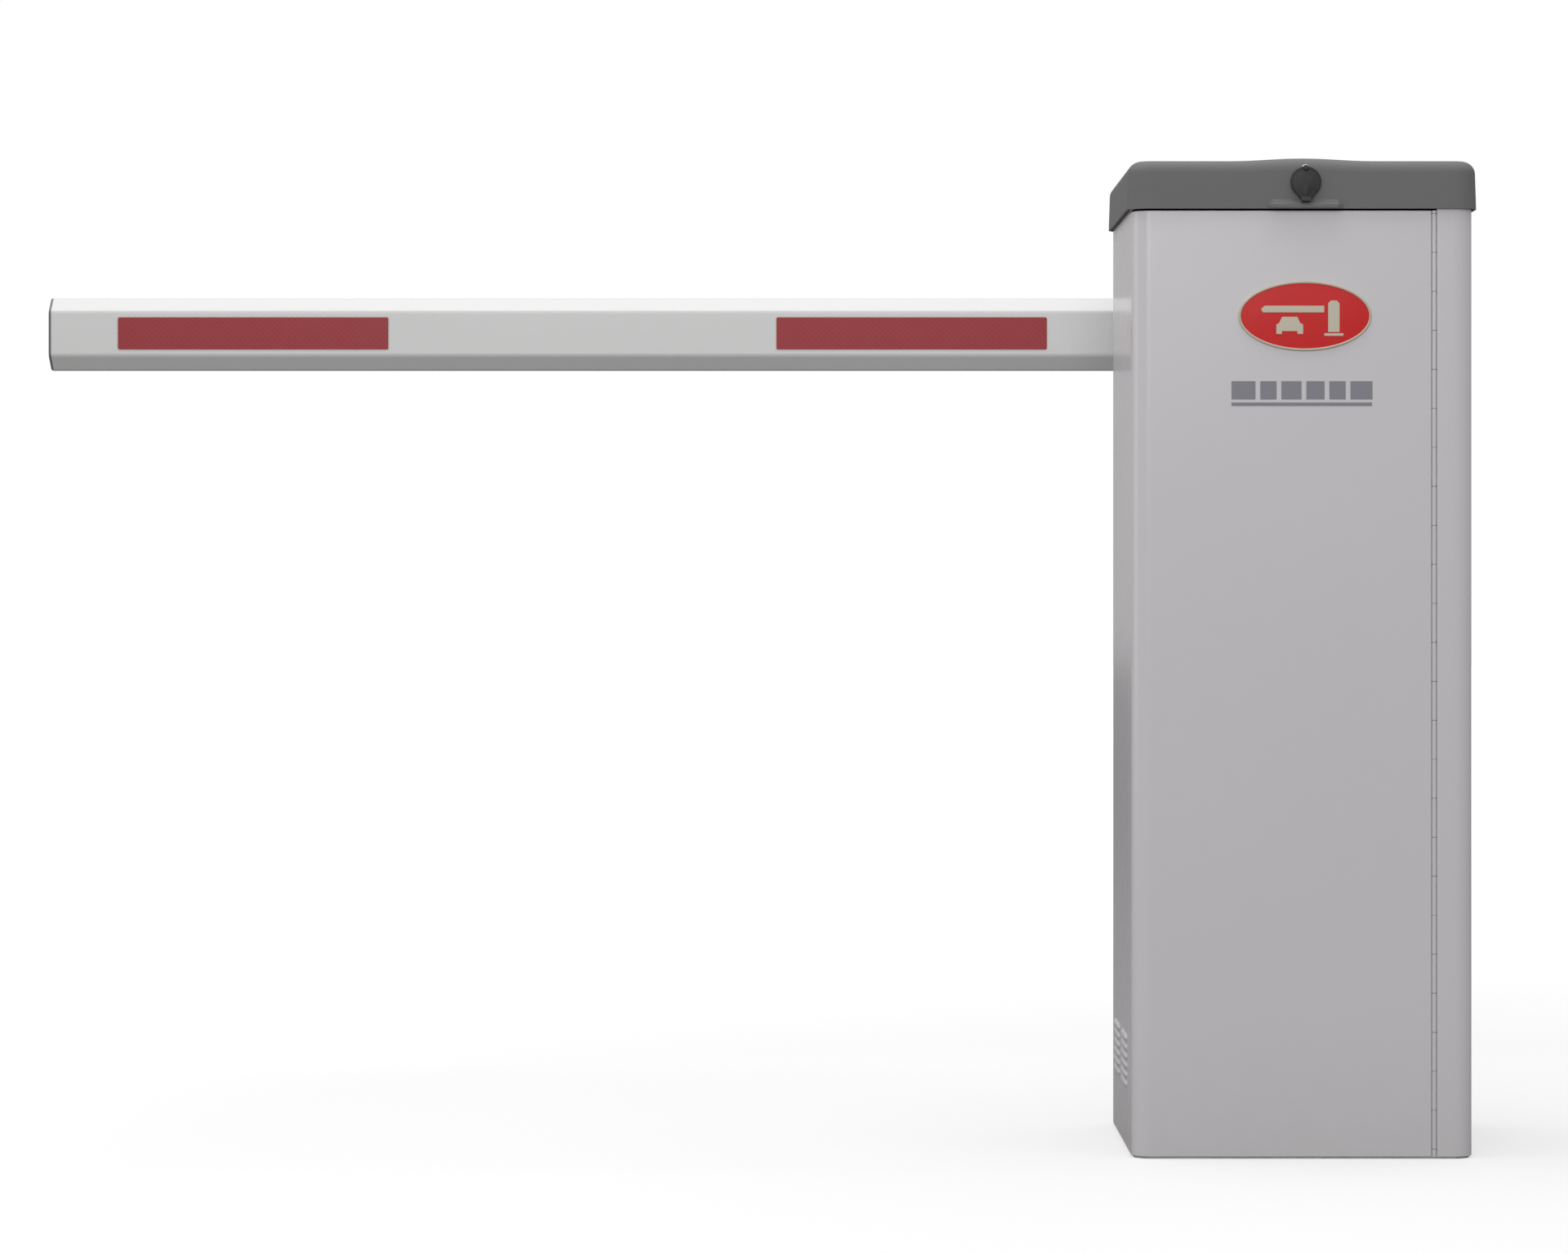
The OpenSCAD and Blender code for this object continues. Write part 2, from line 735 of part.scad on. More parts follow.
module control_board() {
    color("darkgreen") {
        block([-board_w / 2, board_y, board_z], [board_w / 2, board_y + board_t, board_z + board_h]);
        for (sx = [-1, 1], z = [board_z + 8, board_z + board_h - 8])
            along_y(sx * (board_w / 2 - 8), z, board_y + board_t, panel_y, 3.5);
    }
}

terminal_w = 9;

module board_terminals() {
    count = floor((board_w - 30) / terminal_w);
    color("mediumseagreen") for (i = [0 : count - 1])
        block([-board_w / 2 + 15 + i * terminal_w, board_y - 14, board_z + 6],
              [-board_w / 2 + 15 + (i + 1) * terminal_w - 0.6, board_y, board_z + 22]);
}

module board_relays() {
    color("royalblue") for (i = [0 : 3])
        block([-board_w / 2 + 20 + i * 26, board_y - 16, board_z + 40],
              [-board_w / 2 + 40 + i * 26, board_y, board_z + 66]);
    color("black") for (i = [0 : 2])
        translate([-board_w / 2 + 28 + i * 24, board_y, board_z + board_h - 30])
            rotate([90, 0, 0]) cylinder(r = 9, h = 26);
}

module board_heatsink() {
    x0 = board_w / 2 - 84;
    color("dimgray") {
        block([x0, board_y - 5, board_z + 40], [x0 + 70, board_y, board_z + board_h - 20]);
        for (i = [0 : 8])
            block([x0 + i * 8.3, board_y - 28, board_z + 40],
                  [x0 + i * 8.3 + 3, board_y - 5 + eps, board_z + board_h - 20]);
    }
}

switch_z = panel_z0 + 75;
switch_x = 90;

// Mains isolator: a body with its rocker button.
module power_switch() {
    color("black") {
        block([switch_x - 20, panel_y - 26, switch_z - 24], [switch_x + 20, panel_y, switch_z + 24]);
        block([switch_x - 9, panel_y - 31, switch_z - 14], [switch_x + 9, panel_y - 26 + eps, switch_z + 14]);
    }
    color("dimgray") for (i = [0 : 5])
        block([-110 + i * 27, panel_y - 34, switch_z - 26], [-110 + i * 27 + 24, panel_y, switch_z + 26]);
}

module battery_shelf() {
    x1 = frame_w / 2 - 4;
    y0 = shelf_y;
    color("lightgray") {
        block([-x1, y0, shelf_z], [x1, frame_y, shelf_z + shelf_t]);
        block([-x1, y0, shelf_z], [x1, y0 + shelf_t, shelf_z + 18]);
        block([-x1, frame_y - shelf_t, shelf_z - 50], [x1, frame_y, shelf_z + eps]);
    }
}

battery = [151, 65, 94];
battery_x = -146;
battery_y = [shelf_y + 4, shelf_y + 7 + battery[1]];

module backup_batteries() {
    color("black") for (y = battery_y) {
        translate([battery_x, y, shelf_z + shelf_t]) cube(battery);
        translate([battery_x + 3, y + 3, shelf_z + shelf_t + battery[2] - eps])
            cube([battery[0] - 6, battery[1] - 6, 3]);
    }
}

module battery_terminals() {
    z0 = shelf_z + shelf_t + battery[2] + 3;
    color("gold") for (y = battery_y, x = [10, battery[0] - 18])
        block([battery_x + x, y + 12, z0], [battery_x + x + 8, y + 14, z0 + 7]);
}

trafo_x = 80;
trafo_y = shelf_y + 46;

module transformer_core() {
    z0 = shelf_z + shelf_t;
    color("dimgray") difference() {
        block([trafo_x - 48, trafo_y - 18, z0], [trafo_x + 48, trafo_y + 18, z0 + 82]);
        for (s = [-1, 1])
            block([trafo_x + s * 24 - 8, trafo_y - 19, z0 + 17],
                  [trafo_x + s * 24 + 8, trafo_y + 19, z0 + 65]);
    }
}

module transformer_coil() {
    z0 = shelf_z + shelf_t + 17.5;
    color("darkgoldenrod") difference() {
        block([trafo_x - 31, trafo_y - 34, z0], [trafo_x + 31, trafo_y + 34, z0 + 47]);
        block([trafo_x - 16 - slip, trafo_y - 18 - slip, z0 - 1],
              [trafo_x + 16 + slip, trafo_y + 18 + slip, z0 + 48]);
    }
}

// ---------------------------------------------------------------- boom

// Section of the octagonal tube, Y across and Z up, grown outward by g.
module octagon(g) {
    y = boom_d / 2 + g;
    z = boom_h / 2 + g;
    cy = cham_y + g * 0.45;
    cz = cham_z + g * 0.45;
    polygon([[-y, -z + cz], [-y + cy, -z], [y - cy, -z], [y, -z + cz],
             [y, z - cz], [y - cy, z], [-y + cy, z], [-y, z - cz]]);
}

// Extrudes a YZ section along X from x0 to x1, about the boom's axis.
module along_boom(x0, x1) {
    translate([x0, boom_cy, boom_z]) rotate([90, 0, 90]) linear_extrude(x1 - x0) children();
}

cap_t = 3;

module boom_tube() {
    color("white") along_boom(-boom_reach + cap_t, boom_tail - cap_t) difference() {
        octagon(0);
        octagon(-boom_wall);
    }
}

module boom_end_caps() {
    color("whitesmoke") {
        along_boom(-boom_reach, -boom_reach + cap_t) octagon(0);
        along_boom(-boom_reach + cap_t - eps, -boom_reach + 20) octagon(-boom_wall - slip / 2);
        along_boom(boom_tail - cap_t, boom_tail) octagon(0);
        along_boom(boom_tail - 20, boom_tail - cap_t + eps) octagon(-boom_wall - slip / 2);
    }
}

module reflective_tapes() {
    color("firebrick") for (x = tape_x, y = [boom_front - tape_t, boom_back])
        block([x, y, boom_z - tape_h / 2], [x + tape_shown, y + tape_t, boom_z + tape_h / 2]);
}

module boom_saddle() {
    plate_y = boom_front - tape_t - saddle_t;
    color("dimgray") difference() {
        union() {
            block([-saddle_w / 2, plate_y, boom_z - saddle_h / 2],
                  [saddle_w / 2, plate_y + saddle_t, boom_z + saddle_h / 2]);
            along_y(0, boom_z, back_y + 6, plate_y + eps, shaft_r + 15);
        }
        along_y(0, boom_z, back_y, boom_front + 5, shaft_r);
        for (sx = [-1, 1], sz = [-1, 1])
            along_y(sx * clamp_x, boom_z + sz * clamp_z, plate_y - 1, boom_front, 5.5);
    }
}

// Hat-section cover that clamps the tube against the saddle.
module boom_clamp_cover() {
    y0 = -boom_d / 2 - tape_t;
    edge = saddle_h / 2;
    color("dimgray") difference() {
        translate([-saddle_w / 2, boom_cy, boom_z]) rotate([90, 0, 90]) linear_extrude(saddle_w)
            difference() {
                union() {
                    octagon(clamp_t + slip);
                    translate([y0, -edge]) square([clamp_t, 2 * edge]);
                }
                octagon(slip);
                translate([y0 - 20, -edge]) square([20, 2 * edge]);
                translate([y0 - 1, -boom_h / 2 - slip]) square([cham_y + 10, boom_h + 2 * slip]);
            }
        for (sx = [-1, 1], sz = [-1, 1])
            along_y(sx * clamp_x, boom_z + sz * clamp_z, boom_front - 5, boom_front + 20, 5.5);
    }
}

module boom_clamp_bolts() {
    plate_y = boom_front - tape_t - saddle_t;
    cover_y = boom_front - tape_t + clamp_t;
    color("silver") for (sx = [-1, 1], sz = [-1, 1]) {
        x = sx * clamp_x;
        z = boom_z + sz * clamp_z;
        along_y(x, z, plate_y - 12, cover_y + eps, 5);
        hex_y(x, z, cover_y, 7, 9);
        hex_y(x, z, plate_y - 8, 8, 9);
    }
}

// ---------------------------------------------------------------- door

module door_panel() {
    door_h = door_top - floor_gap;
    color("gainsboro") {
        translate([0, 0, floor_gap]) linear_extrude(door_h) intersection() {
            difference() {
                round_plan(cab_w, cab_d, corner_r);
                round_plan(cab_w - 2 * sheet, cab_d - 2 * sheet, corner_r - sheet);
            }
            union() {
                translate([-half_w, front_y]) square([door_x1 + half_w, corner_r]);
                translate([-half_w, front_y]) square([corner_r, door_wrap]);
            }
        }
        // hinge flange, top and bottom stiffening flanges
        block([door_x1 - sheet, inner_front - eps, flange_z0],
              [door_x1, front_y + flange_w + 4, door_top]);
        difference() {
            for (z = [flange_z0 + 4, door_top - 8 - sheet])
                block([-half_w + corner_r, inner_front - eps, z],
                      [door_x1 - sheet + eps, inner_front + 10, z + sheet]);
            block([latch_x - tip_half - 0.8, inner_front + bolt_y - 0.8, door_top - 12],
                  [latch_x + tip_half + 0.8, inner_front + 11, door_top]);
        }
    }
    // guide of the latch bolt
    color("silver") difference() {
        block([latch_x - 16, inner_front - eps, latch_z0 + 22],
              [latch_x + 16, inner_front + 13, latch_z0 + 36]);
        block([latch_x - bolt_half - run, inner_front + bolt_y - run, latch_z0],
              [latch_x + bolt_half + run, inner_front + bolt_y + bolt_t + run, latch_z0 + 50]);
    }
}

latch_x = -half_w + 60;
latch_z0 = door_top - 68;
bolt_half = 8;                      // half width of the bolt
tip_half = 3;                       // half width of its tip
bolt_y = 3;                         // distance from the door's sheet
bolt_t = 6;

// Flat bolt that slides up into the keeper, with a finger plate.
module latch_bolt() {
    y0 = inner_front + bolt_y;
    color("silver") {
        block([latch_x - bolt_half, y0, latch_z0 + 4], [latch_x + bolt_half, y0 + bolt_t, door_top - 26]);
        block([latch_x - tip_half, y0, door_top - 27], [latch_x + tip_half, y0 + bolt_t, door_top - 2.5]);
        block([latch_x - 12, y0 + bolt_t - 1, latch_z0 - 6], [latch_x + 12, y0 + bolt_t + 9, latch_z0 + 8]);
    }
}

// Bracket inside the body above the door, which the bolt enters.
module latch_keeper() {
    z0 = door_top + door_gap + 2;
    y0 = inner_front + bolt_y;
    color("silver") difference() {
        block([latch_x - 14, inner_front, z0], [latch_x + 14, inner_front + 14, z0 + 5]);
        block([latch_x - tip_half - 0.8, y0 - 0.8, z0 - 1],
              [latch_x + tip_half + 0.8, y0 + bolt_t + 0.8, z0 + 6]);
    }
}

// Knuckles of one leaf: the even or the odd ones, with a small gap between neighbours.
module knuckle_row(first) {
    for (i = [first : 2 : knuckles - 1])
        translate([hinge_x, hinge_y, hinge_z0 + i * knuckle_len + knuckle_gap])
            cylinder(r = knuckle_r, h = knuckle_len - 2 * knuckle_gap, $fn = 24);
}

// One leaf of the continuous hinge: s = 1 is fixed to the strip, s = -1 to the door.
module hinge_leaf(s, first) {
    x0 = s > 0 ? hinge_x + leaf_gap : hinge_x - leaf_gap - leaf_t;
    flange_x = s > 0 ? strip_x0 : door_x1;
    difference() {
        union() {
            knuckle_row(first);
            for (i = [first : 2 : knuckles - 1])
                block([x0, hinge_y, hinge_z0 + i * knuckle_len + knuckle_gap],
                      [x0 + leaf_t, hinge_y + knuckle_r + 1,
                       hinge_z0 + (i + 1) * knuckle_len - knuckle_gap]);
            block([x0, hinge_y + knuckle_r + 0.5, hinge_z0], [x0 + leaf_t, hinge_y + leaf_w, hinge_z1]);
            // folded foot that reaches the return flange
            block([min(x0, flange_x), hinge_y + leaf_w - 8, hinge_z0],
                  [max(x0 + leaf_t, flange_x), hinge_y + leaf_w, hinge_z1]);
        }
        translate([hinge_x, hinge_y, hinge_z0 - 1])
            cylinder(r = pin_hinge_r + run, h = hinge_z1 - hinge_z0 + 2, $fn = 24);
    }
}

module hinge_fixed_leaf() {
    color("gainsboro") hinge_leaf(1, 0);
}

module hinge_door_leaf() {
    color("gainsboro") hinge_leaf(-1, 1);
}

module hinge_pin() {
    color("silver") translate([hinge_x, hinge_y, hinge_z0 - pin_over])
        cylinder(r = pin_hinge_r, h = hinge_z1 - hinge_z0 + 2 * pin_over);
}

badge = [139, 73];
badge_x = 2;
badge_z = boom_z - 1;
badge_t = 3;

// Oval plate and the printed band under it, both stuck on the door.
module door_badge() {
    color("firebrick") translate([badge_x, front_y, badge_z]) rotate([90, 0, 0])
        linear_extrude(badge_t) scale([badge[0] / badge[1], 1]) circle(badge[1] / 2, $fn = 96);
    color("gray") {
        block([badge_x - 77, front_y - 0.4, badge_z - 87], [badge_x + 72, front_y, badge_z - 68]);
        block([badge_x - 77, front_y - 0.4, badge_z - 94], [badge_x + 70, front_y, badge_z - 90]);
    }
}

// ---------------------------------------------------------------- lid and lock

// Solid of the lid's outside, inset by g all round and at the top. Its sides lean in
// by lid_draft on the way up to the rounded edge, and its top rises to a band in the middle.
module lid_form(g) {
    w = cab_w / 2 + lid_over - lid_corner_r;
    d = cab_d / 2 + lid_over - lid_corner_r;
    r = lid_corner_r - g;
    edge = lid_edge_r - g;
    flat_d = d + r - lid_draft - edge;
    hull() {
        for (sx = [-1, 1], sy = [-1, 1]) translate([sx * w, sy * d, 0]) {
            translate([0, 0, lid_z]) cylinder(r = r, h = 1, $fn = 32);
            translate([0, 0, lid_top - g - edge]) rotate_extrude($fn = 32)
                intersection() {
                    translate([r - lid_draft - edge, 0]) circle(edge, $fn = 32);
                    square([r, edge + 1]);
                }
        }
        block([-crown_w / 2, -flat_d, lid_top + lid_crown - g - 1],
              [crown_w / 2, flat_d, lid_top + lid_crown - g]);
    }
}

// Two ribs under the lid's top, which rest on the seal at the front and the back. They end
// inside the lid's rounded edge.
module lid_ribs() {
    intersection() {
        for (x = [-rib_x, rib_x])
            block([x - rib_t / 2, -cab_d / 2, body_top + seal_h + slip],
                  [x + rib_t / 2, cab_d / 2, lid_top - lid_wall + 1]);
        lid_form(lid_wall / 2);
    }
}

rib_x = 100;
rib_t = 3;
crown_w = 40;                                    // width of the lid's middle band

module lid_shell() {
    color("dimgray") difference() {
        union() {
            difference() {
                lid_form(0);
                translate([0, 0, -eps]) lid_form(lid_wall);
            }
            // finger lip
            translate([lock_x - lip_w / 2, 0, 0]) rotate([90, 0, 90]) linear_extrude(lip_w)
                polygon([[lid_front + 1, lid_z], [lid_front - lip_out, lid_z],
                         [lid_front - lip_out, lid_z + 3.5], [lid_front, lid_z + 9.5],
                         [lid_front + 1, lid_z + 9.5]]);
            lid_ribs();
        }
        along_y(lock_x, lock_z, lid_front - 20, lid_in_front + 20, lock_r);
        // finger recess under the lip
        block([lock_x - lip_w / 2 + 6, lid_front - lip_out + 2, lid_z - 1],
              [lock_x + lip_w / 2 - 6, lid_front - 1, lid_z + 2]);
    }
}

// Body of the cam lock: a flanged barrel through the lid's skirt, with its nut.
module lock_barrel() {
    color("dimgray") difference() {
        union() {
            along_y(lock_x, lock_z, lid_front - 3, lid_front + 0.3, lock_r + 3);
            along_y(lock_x, lock_z, lid_front - 1, lid_in_front + 12, lock_r - 0.1);
            hex_y(lock_x, lock_z, lid_in_front + 2.6, 4, lock_r + 4);
            // ear for the dust cover's rivet
            along_y(lock_x, lock_z + lock_r + 3, lid_front - 3, lid_front - 0.2, 4);
        }
        along_y(lock_x, lock_z, lid_front - 5, lid_in_front + 15, plug_r + run);
    }
}

// Key plug and the cam on its inner end.
module lock_plug_cam() {
    y1 = lid_in_front + 13;
    color("silver") difference() {
        union() {
            along_y(lock_x, lock_z, lid_front - 2.6, y1 + 3, plug_r);
            translate([0, y1, 0]) bar_xz([lock_x, lock_z], [lock_x, lock_z - cam_len], plug_r, 3);
            hex_y(lock_x, lock_z, y1 + 3 - eps, 4, plug_r);
        }
        block([lock_x - 1, lid_front - 4, lock_z - 4], [lock_x + 1, lid_front + 6, lock_z + 4]);
    }
}

// Drop-shaped cover that hangs over the keyway from a rivet.
module lock_dust_cover() {
    y1 = lid_front - 3 - slip;
    rivet_z = lock_z + lock_r + 3;
    color([0.2, 0.2, 0.2]) translate([0, y1 - 5, 0]) {
        hull() {
            along_y(lock_x, lock_z, 0, 5, cover_r);
            along_y(lock_x, lock_z - 14, 0, 5, 6.5);
        }
        along_y(lock_x, rivet_z, -1.5, 5, 3);
        block([lock_x - 5, -3, lock_z - 20.5], [lock_x + 5, 5, lock_z - 16]);
    }
}

// Hook that the turned cam goes under, on the ring at the top of the cabinet.
module lid_catch() {
    y0 = lid_in_front + 12.6;
    x0 = lock_x + plug_r + 1;
    x1 = lock_x + plug_r + cam_len + 7;
    z0 = ring_z + ring_t;
    top = lock_z + plug_r + 5;
    color("silver") {
        block([x1 - 4, y0, z0], [x1, y0 + 16, top]);
        block([x0, y0, top - 4], [x1, y0 + 7, top]);
        block([x1 - 4, y0, z0], [x1 + 16, y0 + 16, z0 + 3]);
    }
}

base_plate();
cabinet_body();
top_frame();
frame_front_plate();
frame_rear_plate();
frame_side_plates();
frame_bolts();
bearing_housings();
shaft_seal();
gearbox_housing();
gearbox_cover();
gearbox_bolts();
motor_body();
motor_end_cap();
control_panel();
panel_posts();
control_board();
board_terminals();
board_relays();
board_heatsink();
power_switch();
battery_shelf();
backup_batteries();
battery_terminals();
transformer_core();
transformer_coil();
spring_anchor_bracket();
spring_eye_bolt();
balance_spring();
stop_brackets();
stop_bumpers();
position_sensor();
hinge_fixed_leaf();
hinge_pin();
lid_catch();
latch_keeper();
lid_seal();
boom_tube();
boom_end_caps();
reflective_tapes();
boom_saddle();
boom_clamp_cover();
boom_clamp_bolts();
main_shaft();
bearing_rings();
rocker_lever();
rocker_pins();
spring_shackle();
crank_assembly();
worm_wheel();
link_rod();
motor_worm();
door_panel();
hinge_door_leaf();
door_badge();
latch_bolt();
lid_shell();
lock_barrel();
lock_plug_cam();
lock_dust_cover();
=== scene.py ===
import json
import math
import bpy
import bmesh
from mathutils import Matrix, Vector

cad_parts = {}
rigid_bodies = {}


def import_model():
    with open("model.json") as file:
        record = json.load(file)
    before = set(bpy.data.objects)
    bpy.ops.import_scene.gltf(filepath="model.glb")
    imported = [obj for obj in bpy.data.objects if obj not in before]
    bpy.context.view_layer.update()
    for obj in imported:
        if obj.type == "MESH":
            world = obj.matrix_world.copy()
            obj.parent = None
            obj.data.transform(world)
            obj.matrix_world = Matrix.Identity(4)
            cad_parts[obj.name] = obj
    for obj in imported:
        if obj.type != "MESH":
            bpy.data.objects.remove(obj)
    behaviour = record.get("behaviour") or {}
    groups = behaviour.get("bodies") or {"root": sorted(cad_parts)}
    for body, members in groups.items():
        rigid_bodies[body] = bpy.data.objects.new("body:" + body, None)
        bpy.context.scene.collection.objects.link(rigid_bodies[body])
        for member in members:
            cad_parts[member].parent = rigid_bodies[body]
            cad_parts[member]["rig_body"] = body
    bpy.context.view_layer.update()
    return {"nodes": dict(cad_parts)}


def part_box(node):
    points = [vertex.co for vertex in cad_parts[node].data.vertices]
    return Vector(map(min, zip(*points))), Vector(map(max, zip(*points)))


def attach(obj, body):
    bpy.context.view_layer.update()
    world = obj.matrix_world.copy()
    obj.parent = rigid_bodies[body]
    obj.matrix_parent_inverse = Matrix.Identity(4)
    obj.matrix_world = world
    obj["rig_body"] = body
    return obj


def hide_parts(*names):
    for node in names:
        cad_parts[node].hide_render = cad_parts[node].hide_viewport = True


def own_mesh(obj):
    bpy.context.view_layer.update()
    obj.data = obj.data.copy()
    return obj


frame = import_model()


# ---- Camera -------------------------------------------------------------------------------
# A long lens, level and square to the cabinet's front, 5.25 m in front of the door, half a
# metre to the boom's side and a little above the middle of the cabinet.
camera_data = bpy.data.cameras.new("camera")
camera_data.lens = 115.6
camera_data.sensor_width = 36.0
camera_data.shift_x = -0.0208
camera_data.shift_y = -0.0302
camera_data.clip_end = 100.0
camera = bpy.data.objects.new("camera", camera_data)
camera.location = (-0.507, -5.427, 0.604)
camera.rotation_euler = (math.radians(90), 0, 0)
bpy.context.scene.collection.objects.link(camera)
bpy.context.scene.camera = camera


# ---- Studio -------------------------------------------------------------------------------
# A white floor under an even sky of light. A wide soft box hangs overhead, one stands at the
# front and a weaker one on the boom's side.
def new_object(name, verts, faces, smooth=False):
    mesh = bpy.data.meshes.new(name)
    mesh.from_pydata([tuple(v) for v in verts], [], faces)
    mesh.update()
    if smooth:
        mesh.shade_smooth()
    piece = bpy.data.objects.new(name, mesh)
    bpy.context.scene.collection.objects.link(piece)
    return piece


def soft_box(name, place, target, size, watts):
    data = bpy.data.lights.new(name, "AREA")
    data.shape = "RECTANGLE"
    data.size, data.size_y = size
    data.energy = watts
    lamp = bpy.data.objects.new(name, data)
    lamp.location = place
    lamp.rotation_euler = (Vector(target) - Vector(place)).to_track_quat("-Z", "Y").to_euler()
    bpy.context.scene.collection.objects.link(lamp)


def fed(tree, kind, inputs=(), **settings):
    """A new node with its settings; each input takes a socket's link or a plain value."""
    node = tree.nodes.new(kind)
    for label, value in settings.items():
        setattr(node, label, value)
    for key, value in dict(inputs).items():
        if isinstance(value, bpy.types.NodeSocket):
            tree.links.new(value, node.inputs[key])
        else:
            node.inputs[key].default_value = value
    return node


floor_half = 30.0
floor = new_object("floor", [(-floor_half, -floor_half, 0), (floor_half, -floor_half, 0),
                             (floor_half, floor_half, 0), (-floor_half, floor_half, 0)],
                   [(0, 1, 2, 3)])
floor_paint = bpy.data.materials.new("floor_paint")
floor_paint.use_nodes = True
floor_tree = floor_paint.node_tree
floor_reach = fed(floor_tree, "ShaderNodeVectorMath", {
    0: fed(floor_tree, "ShaderNodeTexCoord").outputs["Object"]}, operation="LENGTH")
floor_glow = fed(floor_tree, "ShaderNodeMapRange", {
    "Value": floor_reach.outputs["Value"], "From Min": 1.2, "From Max": 7.0, "To Min": 0.5,
    "To Max": 1.0})
floor_seen = floor_tree.nodes["Principled BSDF"]
floor_seen.inputs["Base Color"].default_value = (0.5, 0.5, 0.5, 1)
floor_seen.inputs["Roughness"].default_value = 0.9
floor_seen.inputs["Emission Color"].default_value = (1, 1, 1, 1)
floor_tree.links.new(floor_glow.outputs[0], floor_seen.inputs["Emission Strength"])
# what the object gets back from the floor is a darker, plain bounce
floor_bounce = fed(floor_tree, "ShaderNodeBsdfDiffuse", {"Color": (0.27, 0.27, 0.27, 1)})
floor_ray = fed(floor_tree, "ShaderNodeLightPath").outputs["Is Camera Ray"]
floor_mix = fed(floor_tree, "ShaderNodeMixShader", {
    0: floor_ray, 1: floor_bounce.outputs[0], 2: floor_seen.outputs[0]})
floor_tree.links.new(floor_mix.outputs[0], floor_tree.nodes["Material Output"].inputs["Surface"])
floor.data.materials.append(floor_paint)

world = bpy.data.worlds.new("studio")
bpy.context.scene.world = world
world.use_nodes = True
sky_tree = world.node_tree
sky = sky_tree.nodes["Background"]
sky.inputs["Color"].default_value = (1.0, 1.0, 1.0, 1)
sky_light, sky_backdrop = 0.46, 1.0        # what lights the object, and what is seen behind it
sky_strength = fed(sky_tree, "ShaderNodeMapRange", {
    "Value": fed(sky_tree, "ShaderNodeLightPath").outputs["Is Camera Ray"],
    "To Min": sky_light, "To Max": sky_backdrop})
sky_tree.links.new(sky_strength.outputs[0], sky.inputs["Strength"])
bpy.context.scene.view_settings.view_transform = "Standard"
soft_box("overhead", (-0.6, 0.3, 4.2), (-0.6, 0.3, 0.0), (5.0, 4.0), 100)
soft_box("front", (-1.0, -6.0, 2.4), (-0.3, 0.0, 0.6), (3.2, 2.4), 96)
soft_box("boom_side", (-5.0, 0.6, 1.4), (-0.2, 0.1, 0.6), (2.4, 2.4), 20)


# ---- Cabinet body -------------------------------------------------------------------------
# Folded 2 mm sheet steel, powder coated in a light warm grey. One wrapped sheet makes the
# right side, the back and the left side; the front is open for the door, with a fixed strip
# at the right. Low on both sides are two columns of pressed louvres.
MM = 0.001
body_low, body_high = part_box("cabinet_body")
door_low, door_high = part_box("door_panel")
half_w = body_high.x
front_y, back_y = body_low.y, body_high.y
sheet = 2 * MM
corner_r = 20 * MM
strip_x = 139.75 * MM                  # edge of the fixed strip beside the door
side_edge_y = door_high.y + 2 * MM     # front edge of the left side's sheet
opening_top = door_high.z + 2 * MM
vent_columns = (front_y + 130 * MM, front_y + 258 * MM)
vent_rows = [(69 + 9.7 * row) * MM for row in range(6)]
vent_half_len, vent_half_h = 42.5 * MM, 1.8 * MM
shaft_z = 0.5 * (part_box("boom_tube")[0].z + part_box("boom_tube")[1].z)


def arc(cx, cy, r, start, end, steps=10):
    """Points on an arc in the XY plane, angles in degrees."""
    angles = [math.radians(start + (end - start) * i / steps) for i in range(steps + 1)]
    return [(cx + r * math.cos(a), cy + r * math.sin(a)) for a in angles]


def round_loop(w, d, r, steps=10):
    """Counterclockwise outline of a rectangle with round corners, w and d half sizes."""
    loop = []
    for cx, cy, start in ((w - r, r - d, -90), (w - r, d - r, 0), (r - w, d - r, 90),
                          (r - w, r - d, 180)):
        loop += arc(cx, cy, r, start, start + 90, steps)
    return loop


def with_stops(path, axis, stops, keep):
    """The path with a point added wherever a side that keep() accepts crosses a stop."""
    full = []
    for a, b in zip(path, path[1:]):
        full.append(a)
        cuts = [s for s in stops if min(a[axis], b[axis]) < s < max(a[axis], b[axis])]
        if keep(a, b):
            for s in sorted(cuts, reverse=a[axis] > b[axis]):
                t = (s - a[axis]) / (b[axis] - a[axis])
                full.append((a[0] + t * (b[0] - a[0]), a[1] + t * (b[1] - a[1])))
    return full + [path[-1]]


def sheet_wall(name, path, levels, hole, thickness=sheet):
    """An upright sheet along path, which is its outer face, with faces left out at hole()."""
    columns = len(path)
    verts = [(x, y, z) for z in levels for x, y in path]
    faces = []
    for row in range(len(levels) - 1):
        for col in range(columns - 1):
            a = row * columns + col
            x = (path[col][0] + path[col + 1][0]) / 2
            y = (path[col][1] + path[col + 1][1]) / 2
            if not hole(x, y, (levels[row] + levels[row + 1]) / 2):
                faces.append((a, a + 1, a + columns + 1, a + columns))
    wall = new_object(name, verts, faces)
    tidy = bmesh.new()
    tidy.from_mesh(wall.data)
    bmesh.ops.remove_doubles(tidy, verts=tidy.verts, dist=1e-6)
    bmesh.ops.delete(tidy, geom=[v for v in tidy.verts if not v.link_faces], context="VERTS")
    tidy.to_mesh(wall.data)
    tidy.free()
    solid = wall.modifiers.new("thickness", "SOLIDIFY")
    solid.thickness = thickness
    solid.offset = -1
    return wall


def applied(piece):
    """Turns the piece's modifiers into plain mesh."""
    depsgraph = bpy.context.evaluated_depsgraph_get()
    mesh = bpy.data.meshes.new_from_object(piece.evaluated_get(depsgraph))
    piece.modifiers.clear()
    piece.data = mesh
    return piece


def smoothed(piece, angle=50):
    """Shades the piece smooth, with its wide faces flat and its sharp edges sharp."""
    piece.data.shade_smooth()
    piece.data.set_sharp_from_angle(angle=math.radians(angle))
    normals = piece.modifiers.new("normals", "WEIGHTED_NORMAL")
    normals.keep_sharp = True
    return applied(piece)


